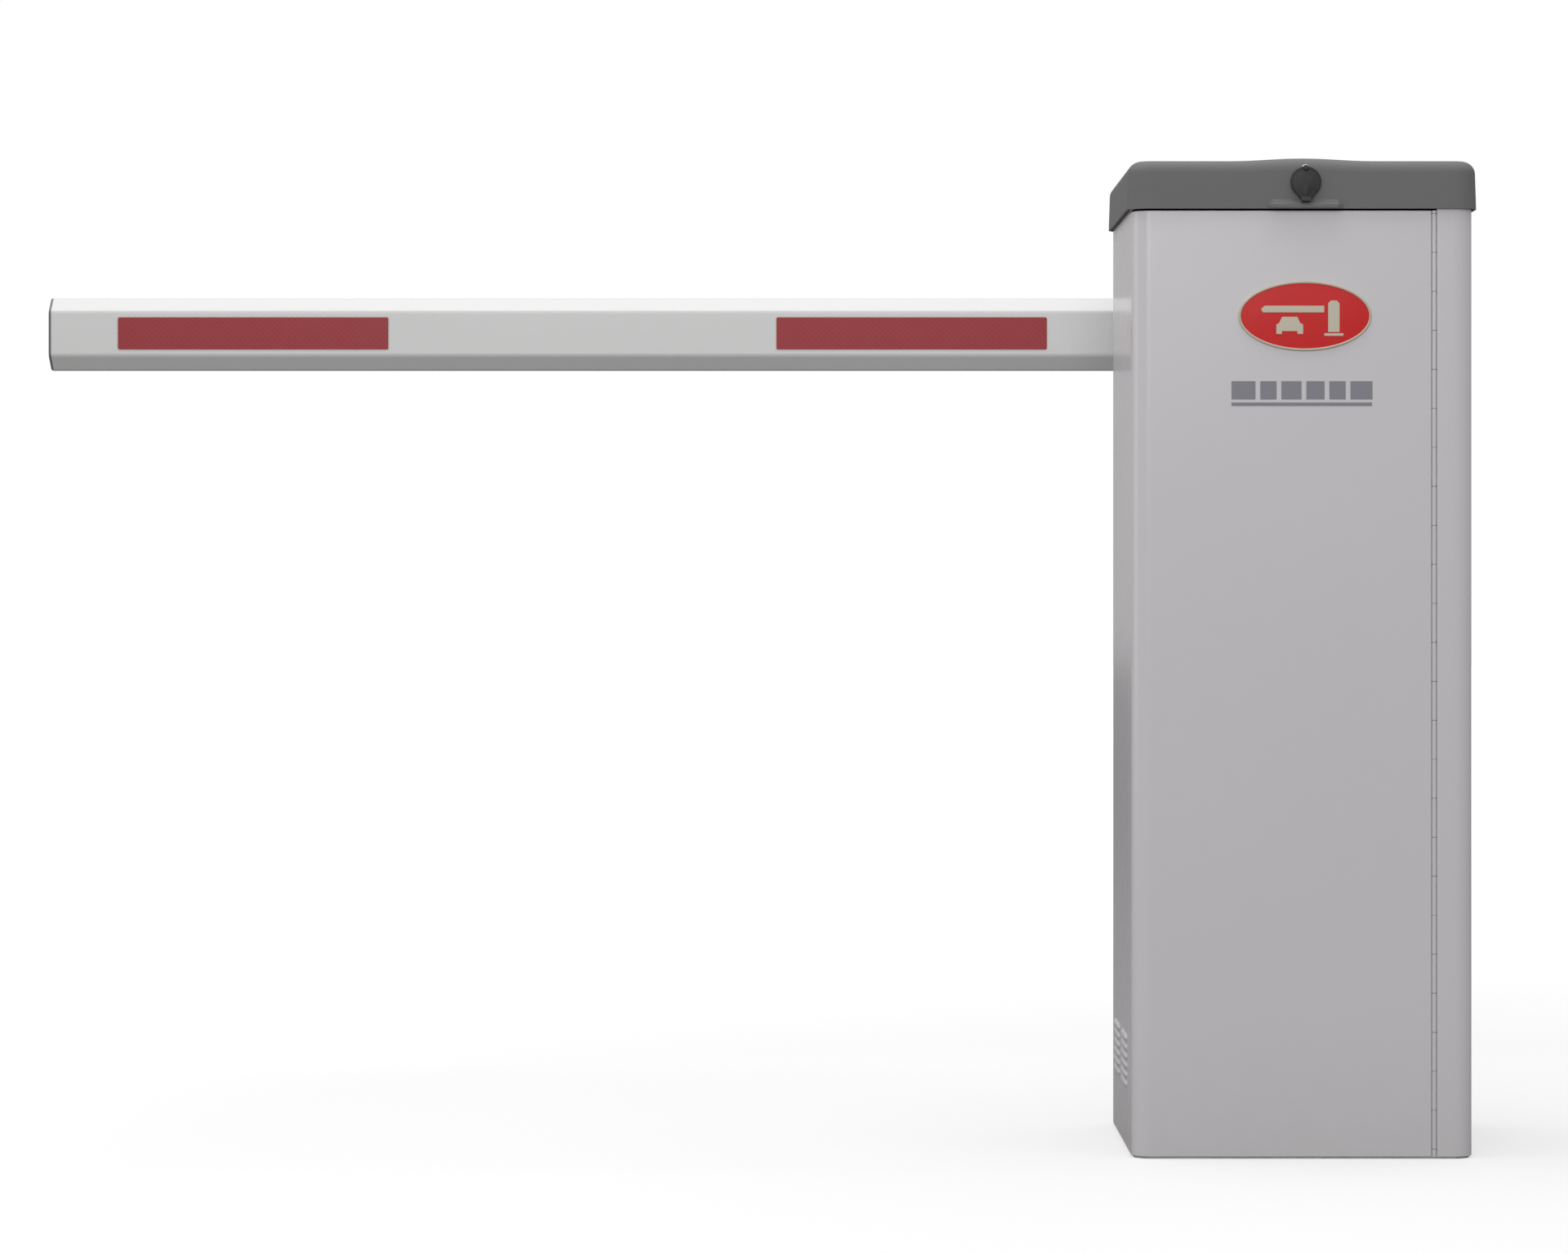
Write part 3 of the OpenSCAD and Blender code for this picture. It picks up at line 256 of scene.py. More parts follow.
def rounded_edges(piece, width, segments=2, angle=35):
    """Rounds the piece's sharp edges and shades the rest smooth."""
    bevel = piece.modifiers.new("edges", "BEVEL")
    bevel.width = width
    bevel.segments = segments
    bevel.limit_method = "ANGLE"
    bevel.angle_limit = math.radians(angle)
    applied(piece)
    return smoothed(piece)


def joined(name, pieces):
    """One object from several."""
    both = bmesh.new()
    for piece in pieces:
        both.from_mesh(piece.data)
        bpy.data.objects.remove(piece)
    mesh = bpy.data.meshes.new(name)
    both.to_mesh(mesh)
    both.free()
    result = bpy.data.objects.new(name, mesh)
    bpy.context.scene.collection.objects.link(result)
    return result


def block(name, low, high):
    """A box between two corners."""
    (x0, y0, z0), (x1, y1, z1) = low, high
    verts = [(x, y, z) for z in (z0, z1) for y in (y0, y1) for x in (x0, x1)]
    return new_object(name, verts, [(0, 2, 3, 1), (4, 5, 7, 6), (0, 1, 5, 4), (2, 6, 7, 3),
                                    (0, 4, 6, 2), (1, 3, 7, 5)])


def rod(name, start, end, r, sides=48):
    """A closed cylinder between two points."""
    start, end = Vector(start), Vector(end)
    turn = (end - start).to_track_quat("Z", "Y").to_matrix()
    ring = [turn @ Vector((r * math.cos(a), r * math.sin(a), 0))
            for a in (2 * math.pi * i / sides for i in range(sides))]
    verts = [start + p for p in ring] + [end + p for p in ring]
    faces = [(i, (i + 1) % sides, sides + (i + 1) % sides, sides + i) for i in range(sides)]
    faces += [tuple(reversed(range(sides))), tuple(range(sides, 2 * sides))]
    return new_object(name, verts, faces)


def cut(piece, *tools):
    """Takes the tools' shapes out of the piece."""
    for tool in tools:
        boolean = piece.modifiers.new("cut", "BOOLEAN")
        boolean.operation = "DIFFERENCE"
        boolean.solver = "EXACT"
        boolean.object = tool
        applied(piece)
        bpy.data.objects.remove(tool)
    return piece


def shader_group(name, inputs, outputs):
    """An empty shader group with the named sockets, as (tree, input node, output node)."""
    tree = bpy.data.node_groups.new(name, "ShaderNodeTree")
    for label, kind, value in inputs:
        socket = tree.interface.new_socket(label, in_out="INPUT", socket_type="NodeSocket" + kind)
        socket.default_value = value
    for label, kind in outputs:
        tree.interface.new_socket(label, in_out="OUTPUT", socket_type="NodeSocket" + kind)
    return tree, tree.nodes.new("NodeGroupInput"), tree.nodes.new("NodeGroupOutput")


def maths(tree, operation, a, b, clamp=False):
    """A math node; a and b are sockets or numbers."""
    return fed(tree, "ShaderNodeMath", {0: a, 1: b}, operation=operation,
               use_clamp=clamp).outputs[0]


def noise(tree, vector, scale, detail=3.0):
    return fed(tree, "ShaderNodeTexNoise", {"Vector": vector, "Scale": scale,
                                            "Detail": detail}).outputs["Fac"]


def around_zero(tree, value, amount):
    """A value between 0 and 1 moved to lie about 0, times an amount."""
    return maths(tree, "MULTIPLY", maths(tree, "SUBTRACT", value, 0.5), amount)


def brightened(tree, colour, shift):
    """The colour with its brightness times 1 plus the shift."""
    return fed(tree, "ShaderNodeHueSaturation", {
        "Color": colour, "Value": maths(tree, "ADD", shift, 1.0)}).outputs[0]


def mix_colour(tree, factor, a, b):
    return fed(tree, "ShaderNodeMix", {0: factor, 6: a, 7: b}, data_type="RGBA").outputs[2]


skin_names = [("Colour", "Color"), ("Roughness", "Float"), ("Normal", "Vector")]


def skin_start(name, inputs):
    """A skin group with object coordinates, as (tree, input sockets, output node, place)."""
    tree, tree_in, tree_out = shader_group(name, inputs, skin_names)
    return tree, tree_in.outputs, tree_out, fed(tree, "ShaderNodeTexCoord").outputs["Object"]


def skin_end(tree, tree_out, colour, roughness, height, strength, depth=0.0004):
    """Joins colour, roughness and a bump of the height to a skin group's outputs."""
    bump = fed(tree, "ShaderNodeBump", {"Distance": depth, "Height": height,
                                        "Strength": strength})
    for label, socket in (("Colour", colour), ("Roughness", roughness),
                          ("Normal", bump.outputs[0])):
        tree.links.new(socket, tree_out.inputs[label])


# Paint skin: soft mottling, the fine orange peel of sprayed coats, and dust near the floor.
coat, coat_in, coat_out, coat_place = skin_start(
    "coat_skin",
    [("Colour", "Color", (0.5, 0.5, 0.5, 1)), ("Mottle", "Float", 0.03),
     ("Peel Scale", "Float", 700.0), ("Peel Depth", "Float", 0.05),
     ("Roughness", "Float", 0.35), ("Spread", "Float", 0.08), ("Dust", "Float", 0.3)])
coat_split = fed(coat, "ShaderNodeSeparateXYZ", {0: coat_place})
coat_low = fed(coat, "ShaderNodeMapRange", {"Value": coat_split.outputs["Z"], "From Min": 0.16,
                                            "From Max": 0.0})
coat_dust = maths(coat, "MULTIPLY", coat_low.outputs[0],
                  maths(coat, "MULTIPLY", noise(coat, coat_place, 38.0), coat_in["Dust"]),
                  clamp=True)
coat_bright = brightened(coat, coat_in["Colour"],
                         around_zero(coat, noise(coat, coat_place, 5.0), coat_in["Mottle"]))
coat_rough = maths(coat, "ADD", coat_in["Roughness"],
                   around_zero(coat, noise(coat, coat_place, 60.0), coat_in["Spread"]))
skin_end(coat, coat_out, mix_colour(coat, coat_dust, coat_bright, (0.36, 0.33, 0.28, 1)),
         maths(coat, "ADD", coat_rough, maths(coat, "MULTIPLY", coat_dust, 0.4)),
         noise(coat, coat_place, coat_in["Peel Scale"], 2.0), coat_in["Peel Depth"])


def skinned(name, group, values, metallic=0.0, ior=1.5):
    """A material whose colour, roughness and normal come from a skin group."""
    made = bpy.data.materials.new(name)
    made.use_nodes = True
    tree = made.node_tree
    shader = tree.nodes["Principled BSDF"]
    shader.inputs["Metallic"].default_value = metallic
    shader.inputs["IOR"].default_value = ior
    skin = fed(tree, "ShaderNodeGroup", node_tree=group)
    for label, value in values.items():
        skin.inputs[label].default_value = value
    for source, target in (("Colour", "Base Color"), ("Roughness", "Roughness"),
                           ("Normal", "Normal")):
        tree.links.new(skin.outputs[source], shader.inputs[target])
    return made


def labelled(more):
    return {label.replace("_", " ").title(): value for label, value in more.items()}


def coated(name, colour, roughness=0.35, ior=1.5, **more):
    values = {"Colour": (*colour, 1), "Roughness": roughness, **labelled(more)}
    return skinned(name, coat, values, ior=ior)


def dressed(piece, material, body, slot, *nodes):
    """Gives a finished piece its material and its body, and hides the nodes it stands for; the slot
    is not used.
    """
    piece.data.materials.clear()
    piece.data.materials.append(material)
    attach(piece, body)
    if nodes:
        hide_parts(*nodes)
    return piece


cabinet_paint = coated("cabinet_paint", (0.735, 0.71, 0.735), 0.22, mottle=0.02, dust=0.12)

vent_edges = [y + s * vent_half_len for y in vent_columns for s in (-1, 1)]
lock_x, notch_half, notch_z = 2 * MM, 17 * MM, 1001.5 * MM
loop = round_loop(half_w, back_y, corner_r)
loop.append(loop[0])
loop = with_stops(loop, 1, vent_edges + [side_edge_y], lambda a, b: abs(a[0] - b[0]) < 1e-9)
loop = with_stops(loop, 0, [strip_x, lock_x - notch_half, lock_x + notch_half],
                  lambda a, b: a[1] == b[1] and a[1] < 0)
levels = [body_low.z]
for z in vent_rows:
    levels += [z - vent_half_h, z + vent_half_h]
levels += [opening_top, notch_z, body_high.z]


def body_hole(x, y, z):
    in_front = y < front_y + corner_r and x < strip_x
    in_left = x < corner_r - half_w and y < side_edge_y
    in_vent = (abs(x) > half_w - MM and any(abs(y - c) < vent_half_len for c in vent_columns)
               and any(abs(z - r) < vent_half_h for r in vent_rows))
    in_notch = z > notch_z and y < front_y + MM and abs(x - lock_x) < notch_half
    return (z < opening_top and (in_front or in_left)) or in_vent or in_notch


body_wall = applied(sheet_wall("body_wall", loop, levels, body_hole))
cut(body_wall, rod("hole", (0, back_y - 0.02, shaft_z), (0, back_y + 0.02, shaft_z), 40 * MM, 72))
flange_low = 10 * MM
strip_flange = block("strip_flange", (strip_x, front_y + MM, flange_low),
                     (strip_x + sheet, front_y + 22 * MM, opening_top))
side_flange = block("side_flange", (MM - half_w, side_edge_y, flange_low),
                    (18 * MM - half_w, side_edge_y + sheet, opening_top))
cabinet = rounded_edges(joined("cabinet_sheet", [body_wall, strip_flange, side_flange]), 0.5 * MM)
dressed(cabinet, cabinet_paint, "cabinet", "cabinet_paint", "cabinet_body")


def geometry_tree(name, inputs):
    """A Geometry Nodes tree with the named inputs, as (tree, input node, output node)."""
    tree = bpy.data.node_groups.new(name, "GeometryNodeTree")
    for label, kind, value in inputs:
        socket = tree.interface.new_socket(label, in_out="INPUT", socket_type="NodeSocket" + kind)
        if value is not None:
            socket.default_value = value
    tree.interface.new_socket("Geometry", in_out="OUTPUT", socket_type="NodeSocketGeometry")
    return tree, tree.nodes.new("NodeGroupInput"), tree.nodes.new("NodeGroupOutput")


def end_tree(tree, socket, material_socket, tree_out):
    """Closes a tree with Realize Instances and Set Material."""
    realize = fed(tree, "GeometryNodeRealizeInstances", {0: socket})
    finish = fed(tree, "GeometryNodeSetMaterial", {"Geometry": realize.outputs[0],
                                                   "Material": material_socket})
    tree.links.new(finish.outputs[0], tree_out.inputs[0])


def grown(name, tree, values, material):
    """Runs a tree on an empty mesh and keeps the result as a plain mesh."""
    piece = bpy.data.objects.new(name, bpy.data.meshes.new(name))
    bpy.context.scene.collection.objects.link(piece)
    modifier = piece.modifiers.new("grow", "NODES")
    modifier.node_group = tree
    values = dict(values, Material=material)
    for item in tree.interface.items_tree:
        if item.in_out == "INPUT" and item.name in values:
            modifier[item.identifier] = values[item.name]
    depsgraph = bpy.context.evaluated_depsgraph_get()
    mesh = bpy.data.meshes.new_from_object(piece.evaluated_get(depsgraph))
    piece.modifiers.clear()
    piece.data = mesh
    return piece


# Copies of one shape in a grid: rows along Z and columns along Y, or along X.
grid, grid_in, grid_out = geometry_tree(
    "copies", [("Shape", "Object", None), ("Start", "Vector", (0, 0, 0)),
               ("Step", "Vector", (0, 0, 0.01)), ("Count", "Int", 1),
               ("Turn", "Vector", (0, 0, 0)), ("Material", "Material", None)])
grid_line = fed(grid, "GeometryNodeMeshLine", {
    "Count": grid_in.outputs["Count"], "Start Location": grid_in.outputs["Start"],
    "Offset": grid_in.outputs["Step"]}, mode="OFFSET")
grid_shape = fed(grid, "GeometryNodeObjectInfo", {"Object": grid_in.outputs["Shape"]})
grid_place = fed(grid, "GeometryNodeInstanceOnPoints", {
    "Points": grid_line.outputs[0], "Instance": grid_shape.outputs["Geometry"],
    "Rotation": grid_in.outputs["Turn"]})
end_tree(grid, grid_place.outputs[0], grid_in.outputs["Material"], grid_out)


def row_of(name, shape, start, step, count, material, turn=(0, 0, 0)):
    return grown(name, grid, {"Shape": shape, "Start": start, "Step": step, "Count": count,
                              "Turn": turn}, material)


# One louvre hood, pressed outward over its slot and open below, with its flat back at x = 0.
hood_out, hood_up, hood_down = 2.3 * MM, 4.2 * MM, 1.0 * MM
hood_cols, hood_rows = 20, 6
hood_verts, hood_faces = [], []
for i in range(hood_cols + 1):
    u = 2 * i / hood_cols - 1
    swell = (1 - abs(u) ** 5) ** 0.5
    for j in range(hood_rows + 1):
        v = j / hood_rows
        hood_verts.append((hood_out * swell * math.sin(v * math.pi / 2),
                           u * (vent_half_len + 2 * MM),
                           hood_up - v * (hood_up + hood_down) - (1 - swell) * 2 * MM * (1 - v)))
for i in range(hood_cols):
    for j in range(hood_rows):
        a = i * (hood_rows + 1) + j
        hood_faces.append((a, a + hood_rows + 1, a + hood_rows + 2, a + 1))
hood = new_object("hood", hood_verts, hood_faces, smooth=True)
hood_wall = hood.modifiers.new("thickness", "SOLIDIFY")
hood_wall.thickness = 0.9 * MM
hood_wall.offset = 0
applied(hood)
hoods = []
for side, turn in ((1, 0.0), (-1, math.pi)):
    for y in vent_columns:
        hoods.append(row_of("hoods", hood, (side * half_w, y, vent_rows[0]),
                            (0, 0, vent_rows[1] - vent_rows[0]), len(vent_rows), cabinet_paint,
                            (0, 0, turn)))
bpy.data.objects.remove(hood)
louvres = joined("louvre_hoods", hoods)
louvres.data.shade_smooth()
dressed(louvres, cabinet_paint, "cabinet", "cabinet_paint")


# ---- Top ring, seal and base plate --------------------------------------------------------
# A zinc-plated angle ring stiffens the top of the sheet body and carries the lid's catch. A
# rubber trim caps the edge above it. The steel base plate is bolted to the ground.
def stretched(tree, vector, scale):
    """The coordinates times a scale on each axis."""
    return fed(tree, "ShaderNodeMapping", {"Vector": vector, "Scale": scale}).outputs[0]


# the edge mask gives real wear on metal and a painted sheen on mouldings
def edge_wear_and_sheen(tree, low=0.52, high=0.62):
    """A mask that is 1 where the surface bends outwards sharply."""
    bend = fed(tree, "ShaderNodeNewGeometry").outputs["Pointiness"]
    return fed(tree, "ShaderNodeMapRange", {"Value": bend, "From Min": low,
                                            "From Max": high}).outputs[0]


# Metal skin: the flake pattern of zinc, tool marks along one axis and brighter worn edges.
metal, metal_in, metal_out, metal_place = skin_start(
    "metal_skin",
    [("Colour", "Color", (0.6, 0.6, 0.6, 1)), ("Flake Scale", "Float", 90.0),
     ("Flake Contrast", "Float", 0.15), ("Marks", "Float", 0.1), ("Roughness", "Float", 0.35),
     ("Spread", "Float", 0.15), ("Wear", "Float", 0.3)])
metal_flake = fed(metal, "ShaderNodeTexVoronoi", {"Vector": metal_place,
                                                  "Scale": metal_in["Flake Scale"]})
metal_split = fed(metal, "ShaderNodeSeparateColor", {0: metal_flake.outputs["Color"]}).outputs
metal_bright = brightened(metal, metal_in["Colour"],
                          around_zero(metal, metal_split[0], metal_in["Flake Contrast"]))
metal_wear = maths(metal, "MULTIPLY", edge_wear_and_sheen(metal), metal_in["Wear"], clamp=True)
skin_end(metal, metal_out, mix_colour(metal, metal_wear, metal_bright, (0.75, 0.74, 0.72, 1)),
         maths(metal, "ADD", metal_in["Roughness"],
               around_zero(metal, metal_split[1], metal_in["Spread"])),
         noise(metal, stretched(metal, metal_place, (900.0, 900.0, 25.0)), 1.0, 4.0),
         metal_in["Marks"], 0.0002)

# Moulded skin: fine grain and faint clouding, for plastics, rubber and castings, with a painted
# sheen of pale grey on sharp edges.
moulded, moulded_in, moulded_out, moulded_place = skin_start(
    "moulded_skin",
    [("Colour", "Color", (0.1, 0.1, 0.1, 1)), ("Grain Scale", "Float", 1400.0),
     ("Grain Depth", "Float", 0.3), ("Clouding", "Float", 0.1), ("Roughness", "Float", 0.5),
     ("Edge Polish", "Float", 0.1)])
moulded_shift = around_zero(moulded, noise(moulded, moulded_place, 30.0), moulded_in["Clouding"])
# pale grey mixed in on sharp edges is a painted sheen, not a colour of the moulding
moulded_edge_sheen = maths(moulded, "MULTIPLY", edge_wear_and_sheen(moulded), moulded_in["Edge Polish"],
                     clamp=True)
skin_end(moulded, moulded_out,
         mix_colour(moulded, moulded_edge_sheen, brightened(moulded, moulded_in["Colour"],
                                                      moulded_shift), (0.4, 0.4, 0.4, 1)),
         maths(moulded, "ADD", moulded_in["Roughness"],
               maths(moulded, "MULTIPLY", moulded_shift, 0.6)),
         noise(moulded, moulded_place, moulded_in["Grain Scale"], 2.0),
         moulded_in["Grain Depth"])


def plated(name, colour, roughness=0.35, metallic=1.0, **more):
    values = {"Colour": (*colour, 1), "Roughness": roughness, **labelled(more)}
    return skinned(name, metal, values, metallic)


def moulding(name, colour, roughness=0.5, metallic=0.0, **more):
    values = {"Colour": (*colour, 1), "Roughness": roughness, **labelled(more)}
    return skinned(name, moulded, values, metallic)


zinc = plated("zinc_plate", (0.62, 0.62, 0.6), 0.38, flake_scale=110.0)
rubber = moulding("black_rubber", (0.018, 0.018, 0.019), 0.65, grain_depth=0.5, edge_polish=0.04)


def softened(node, material, slot, width=0.4 * MM, segments=2):
    """A copy of a CAD node with its edges rounded, which stands for the node."""
    source = frame["nodes"][node]
    piece = bpy.data.objects.new(node + "_finish", source.data.copy())
    bpy.context.scene.collection.objects.link(piece)
    if "custom_normal" in piece.data.attributes:
        piece.data.attributes.remove(piece.data.attributes["custom_normal"])
    shape = bmesh.new()
    shape.from_mesh(piece.data)
    bmesh.ops.remove_doubles(shape, verts=shape.verts, dist=2e-6)
    bmesh.ops.dissolve_limit(shape, angle_limit=math.radians(0.5), verts=shape.verts,
                             edges=shape.edges)
    shape.to_mesh(piece.data)
    shape.free()
    rounded_edges(piece, width, segments)
    return dressed(piece, material, source["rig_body"], slot, node)


softened("base_plate", zinc, "zinc_steel", 1.0 * MM)
softened("top_frame", zinc, "zinc_steel")
softened("lid_seal", rubber, "rubber", 0.5 * MM)


# ---- Door ---------------------------------------------------------------------------------
# The same folded sheet as the body. It covers the front and wraps round the left corner, and
# hangs on a continuous hinge at the right. Folded flanges stiffen its edges, and a small guide
# for the latch bolt is riveted inside.
door_edge_x = door_high.x
door_path = [(-half_w, door_high.y)] + arc(corner_r - half_w, front_y + corner_r, corner_r,
                                           180, 270) + [(door_edge_x, front_y)]
door_sheet = applied(sheet_wall("door_sheet", door_path, [door_low.z, door_high.z],
                                lambda x, y, z: False))
latch_x, guide_z, guide_half = -118 * MM, 950 * MM, 7 * MM
latch_slot = block("slot", (latch_x - 3.8 * MM, front_y + 4.2 * MM, 0.92),
                   (latch_x + 3.8 * MM, front_y + 14 * MM, 1.0))
top_flange = cut(block("top_flange", (corner_r - half_w, front_y + MM, door_high.z - 10 * MM),
                       (door_edge_x - MM, front_y + 12 * MM, door_high.z - 8 * MM)), latch_slot)
low_flange = block("low_flange", (corner_r - half_w, front_y + MM, 14 * MM),
                   (door_edge_x - MM, front_y + 12 * MM, 16 * MM))
hinge_flange = block("hinge_flange", (door_edge_x - sheet, front_y + MM, flange_low),
                     (door_edge_x, front_y + 22 * MM, door_high.z))
guide = cut(block("guide", (latch_x - 16 * MM, front_y + 1.5 * MM, guide_z - guide_half),
                  (latch_x + 16 * MM, front_y + 15 * MM, guide_z + guide_half)),
            block("slot", (latch_x - 8.06 * MM, front_y + 4.94 * MM, 0.9),
                  (latch_x + 8.06 * MM, front_y + 11.06 * MM, 1.0)))
door = rounded_edges(joined("door", [door_sheet, top_flange, low_flange, hinge_flange, guide]),
                     0.8 * MM)
dressed(door, cabinet_paint, "door", "cabinet_paint", "door_panel")


# ---- Hinge and latch ----------------------------------------------------------------------
# A continuous hinge of folded strip with rolled knuckles on a steel pin, painted with the door
# and the body. Inside the door a flat bolt slides up into a keeper under the lid.
softened("hinge_fixed_leaf", cabinet_paint, "cabinet_paint", 0.2 * MM)
softened("hinge_door_leaf", cabinet_paint, "cabinet_paint", 0.2 * MM)
softened("hinge_pin", zinc, "zinc_steel", 0.3 * MM)
leaf_low, leaf_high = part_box("hinge_fixed_leaf")
pin_low, pin_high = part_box("hinge_pin")
pin_x, pin_y = (pin_low.x + pin_high.x) / 2, (pin_low.y + pin_high.y) / 2
# short painted plugs fill the groove above and below the hinge
plugs = [rod("plug", (pin_x, pin_y, z0), (pin_x, pin_y, z1), pin_y - front_y, 24)
         for z0, z1 in ((door_low.z, leaf_low.z - 0.2 * MM), (leaf_high.z + 0.2 * MM, door_high.z))]
dressed(smoothed(joined("hinge_plugs", plugs)), cabinet_paint, "cabinet", "cabinet_paint")
softened("latch_bolt", zinc, "zinc_steel", 0.6 * MM)
softened("latch_keeper", zinc, "zinc_steel")


# ---- Badge --------------------------------------------------------------------------------
# An oval enamel plate with a raised pale rim and a plain raised gate sign, stuck on the door.
# Under it a row of plain grey blocks and a line are printed on the paint.
badge_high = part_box("door_badge")[1]
badge_w, badge_h = 69.5 * MM, 36.5 * MM
badge_x, badge_z = 2 * MM, badge_high.z - badge_h


def oval(rx, rz, count=96):
    return [(rx * math.cos(2 * math.pi * i / count), rz * math.sin(2 * math.pi * i / count))
            for i in range(count)]


def lofted(name, rings, centre_cap=True, first_cap=False):
    """A skin over closed rings with as many points each, closed at its ends if asked."""
    count = len(rings[0])
    verts = [p for ring in rings for p in ring]
    faces = [(r * count + i, r * count + (i + 1) % count, (r + 1) * count + (i + 1) % count,
              (r + 1) * count + i) for r in range(len(rings) - 1) for i in range(count)]
    if centre_cap:
        faces.append(tuple((len(rings) - 1) * count + i for i in range(count)))
    if first_cap:
        faces.append(tuple(reversed(range(count))))
    return new_object(name, verts, faces)


def outward(piece):
    """Merges doubles and turns all the faces of a closed piece outwards."""
    shape = bmesh.new()
    shape.from_mesh(piece.data)
    bmesh.ops.remove_doubles(shape, verts=shape.verts, dist=1e-6)
    bmesh.ops.recalc_face_normals(shape, faces=shape.faces)
    shape.to_mesh(piece.data)
    shape.free()
    return piece


# each row is the inset from the oval's edge and the height above the door, in mm
rim_steps = ((0.0, 0.0), (0.0, 1.5), (0.35, 2.3), (1.0, 2.9), (1.7, 2.9), (2.3, 2.5), (2.6, 1.9),
             (2.6, 0.0), (0.0, 0.0))
field_steps = ((2.4, 1.0), (2.4, 1.9), (8.0, 2.0), (16.0, 2.15), (26.0, 2.25), (34.0, 2.3))


def badge_rings(steps):
    rings = []
    for inset, height in steps:
        ring = oval(badge_w - inset * MM, badge_h - inset * MM)
        rings.append([(badge_x + x, front_y - height * MM, badge_z + z) for x, z in ring])
    return rings


cream = coated("cream_enamel", (0.66, 0.6, 0.47), 0.3, mottle=0.04, peel_scale=500.0, dust=0.0)
badge_red = coated("red_enamel", (0.72, 0.01, 0.012), 0.3, 1.36, mottle=0.05,
                   peel_scale=420.0, peel_depth=0.03, dust=0.0)
print_grey = coated("printed_grey", (0.275, 0.275, 0.31), 0.55, mottle=0.06, dust=0.0)
rim = lofted("badge_rim", badge_rings(rim_steps), centre_cap=False)
dressed(smoothed(outward(rim), 70), cream, "door", "badge_red")
field = lofted("badge_field", badge_rings(field_steps), True, True)
dressed(smoothed(outward(field), 60), badge_red, "door", "badge_red", "door_badge")


def raised_sign(name, outline, base, top):
    """A flat raised shape from its outline in mm about the badge's centre."""
    back = [(badge_x + x * MM, front_y - base * MM, badge_z + z * MM) for x, z in outline]
    face = [(x, front_y - top * MM, z) for x, y, z in back]
    return outward(lofted(name, [back, face], True, True))


signs = [raised_sign("sign", outline, 1.6, 2.75) for outline in (
    # the post, its foot and the boom
    ((24, -17), (36, -17), (36, 13), (33, 16), (27, 16), (24, 13)),
    ((20, -21), (40, -21), (40, -18.2), (20, -18.2)),
    ((-44, 3.5), (20, 3.5), (20, 10.5), (-42, 10.5), (-46, 7)),
    # a small car seen from behind
    ((-30, -19), (-24, -19), (-24, -16), (-8, -16), (-8, -19), (-2, -19), (-2, -9), (-5, -7.5),
     (-8, -1), (-24, -1), (-27, -7.5), (-30, -9)))]
dressed(rounded_edges(joined("badge_sign", signs), 0.35 * MM), cream, "door", "badge_red")

# the printed row, of blocks of uneven width, and the line under it
bar_z, bar_h = badge_z - 77.5 * MM, 19 * MM
bars, at = [], badge_x - 76.5 * MM
for width in (25, 17, 21, 19, 17, 23):
    bars.append(block("bar", (at, front_y - 0.35 * MM, bar_z - bar_h / 2),
                      (at + width * MM, front_y - 0.02 * MM, bar_z + bar_h / 2)))
    at += (width + 5) * MM
bars.append(block("bar", (badge_x - 76.5 * MM, front_y - 0.35 * MM, badge_z - 93.8 * MM),
                  (badge_x + 70 * MM, front_y - 0.02 * MM, badge_z - 90.2 * MM)))
dressed(joined("printed_bars", bars), print_grey, "door", "badge_red")


# ---- Lid ----------------------------------------------------------------------------------
# A dark grey moulded lid with soft top edges, whose top swells up to a band in the middle. A
# short finger lip stands out under the lock, and two ribs inside rest on the seal.
lid_low, lid_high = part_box("lid_shell")
lid_wall, lid_edge, lid_draft = 2.5 * MM, 14 * MM, 1.2 * MM
lid_corner, lid_half, lid_side_y = 25 * MM, lid_high.x, lid_high.y
lid_z, lid_top = lid_low.z, lid_high.z
lock_z = lid_z + 27.5 * MM
swell, swell_half = 2.7 * MM, 75 * MM      # rise of the top's middle band, and its half width
lid_stops = [k * 9 * MM for k in range(-17, 18)]


def lid_ring(inset, z, r_less):
    r = max(lid_corner - inset - r_less, 0.5 * MM)
    half_x, half_y = lid_half - inset - r_less, lid_side_y - inset - r_less
    loop = round_loop(half_x, half_y, r, 8)
    loop.append(loop[0])
    loop = with_stops(loop, 0, lid_stops, lambda a, b: abs(a[1] - b[1]) < 1e-9)
    return [(x, y, z) for x, y in loop[:-1]]


def lid_rings(inset):
    """Rings of the lid's form from its lower edge to the middle of its top."""
    edge = lid_edge - inset
    base = lid_top - inset - edge
    rings = [lid_ring(inset, lid_z + t * (base - lid_z), t * lid_draft)
             for t in (0.0, 0.04, 0.35, 0.7, 1.0)]
    for i in range(1, 9):
        a = math.pi / 2 * i / 8
        rings.append(lid_ring(inset, base + edge * math.sin(a),
                              lid_draft + edge * (1 - math.cos(a))))
    top = rings[-1]
    for share in (0.92, 0.8, 0.65, 0.5, 0.35, 0.2, 0.08):
        rings.append([(x * share, y * share, z) for x, y, z in top])
    return rings


outer, inner = lid_rings(0.0), lid_rings(lid_wall)
lid_shell = joined("lid", [
    lofted("outer", outer), lofted("inner", inner),
    lofted("rim", [outer[0], inner[0]], centre_cap=False)])
outward(lid_shell)
swell_z = lid_z + 21 * MM                  # below this the sides are left straight
for vertex in lid_shell.data.vertices:
    rise = min(max((vertex.co.z - swell_z) / (lid_top - swell_z), 0.0), 1.0)
    fall = 0.5 - 0.5 * math.cos(math.pi * min(abs(vertex.co.x / swell_half), 1.0))
    vertex.co.z -= swell * fall * rise * rise * (3 - 2 * rise)
cut(lid_shell, rod("bore", (lock_x, -0.21, lock_z), (lock_x, -0.17, lock_z), 11 * MM, 64))
# the lip's section, as y from the lid's front and z from its lower edge, in mm
lip_profile = [(1, 0), (-7, 0), (-7, 3.5), (0, 9.5), (1, 9.5)]
lip_rings = []
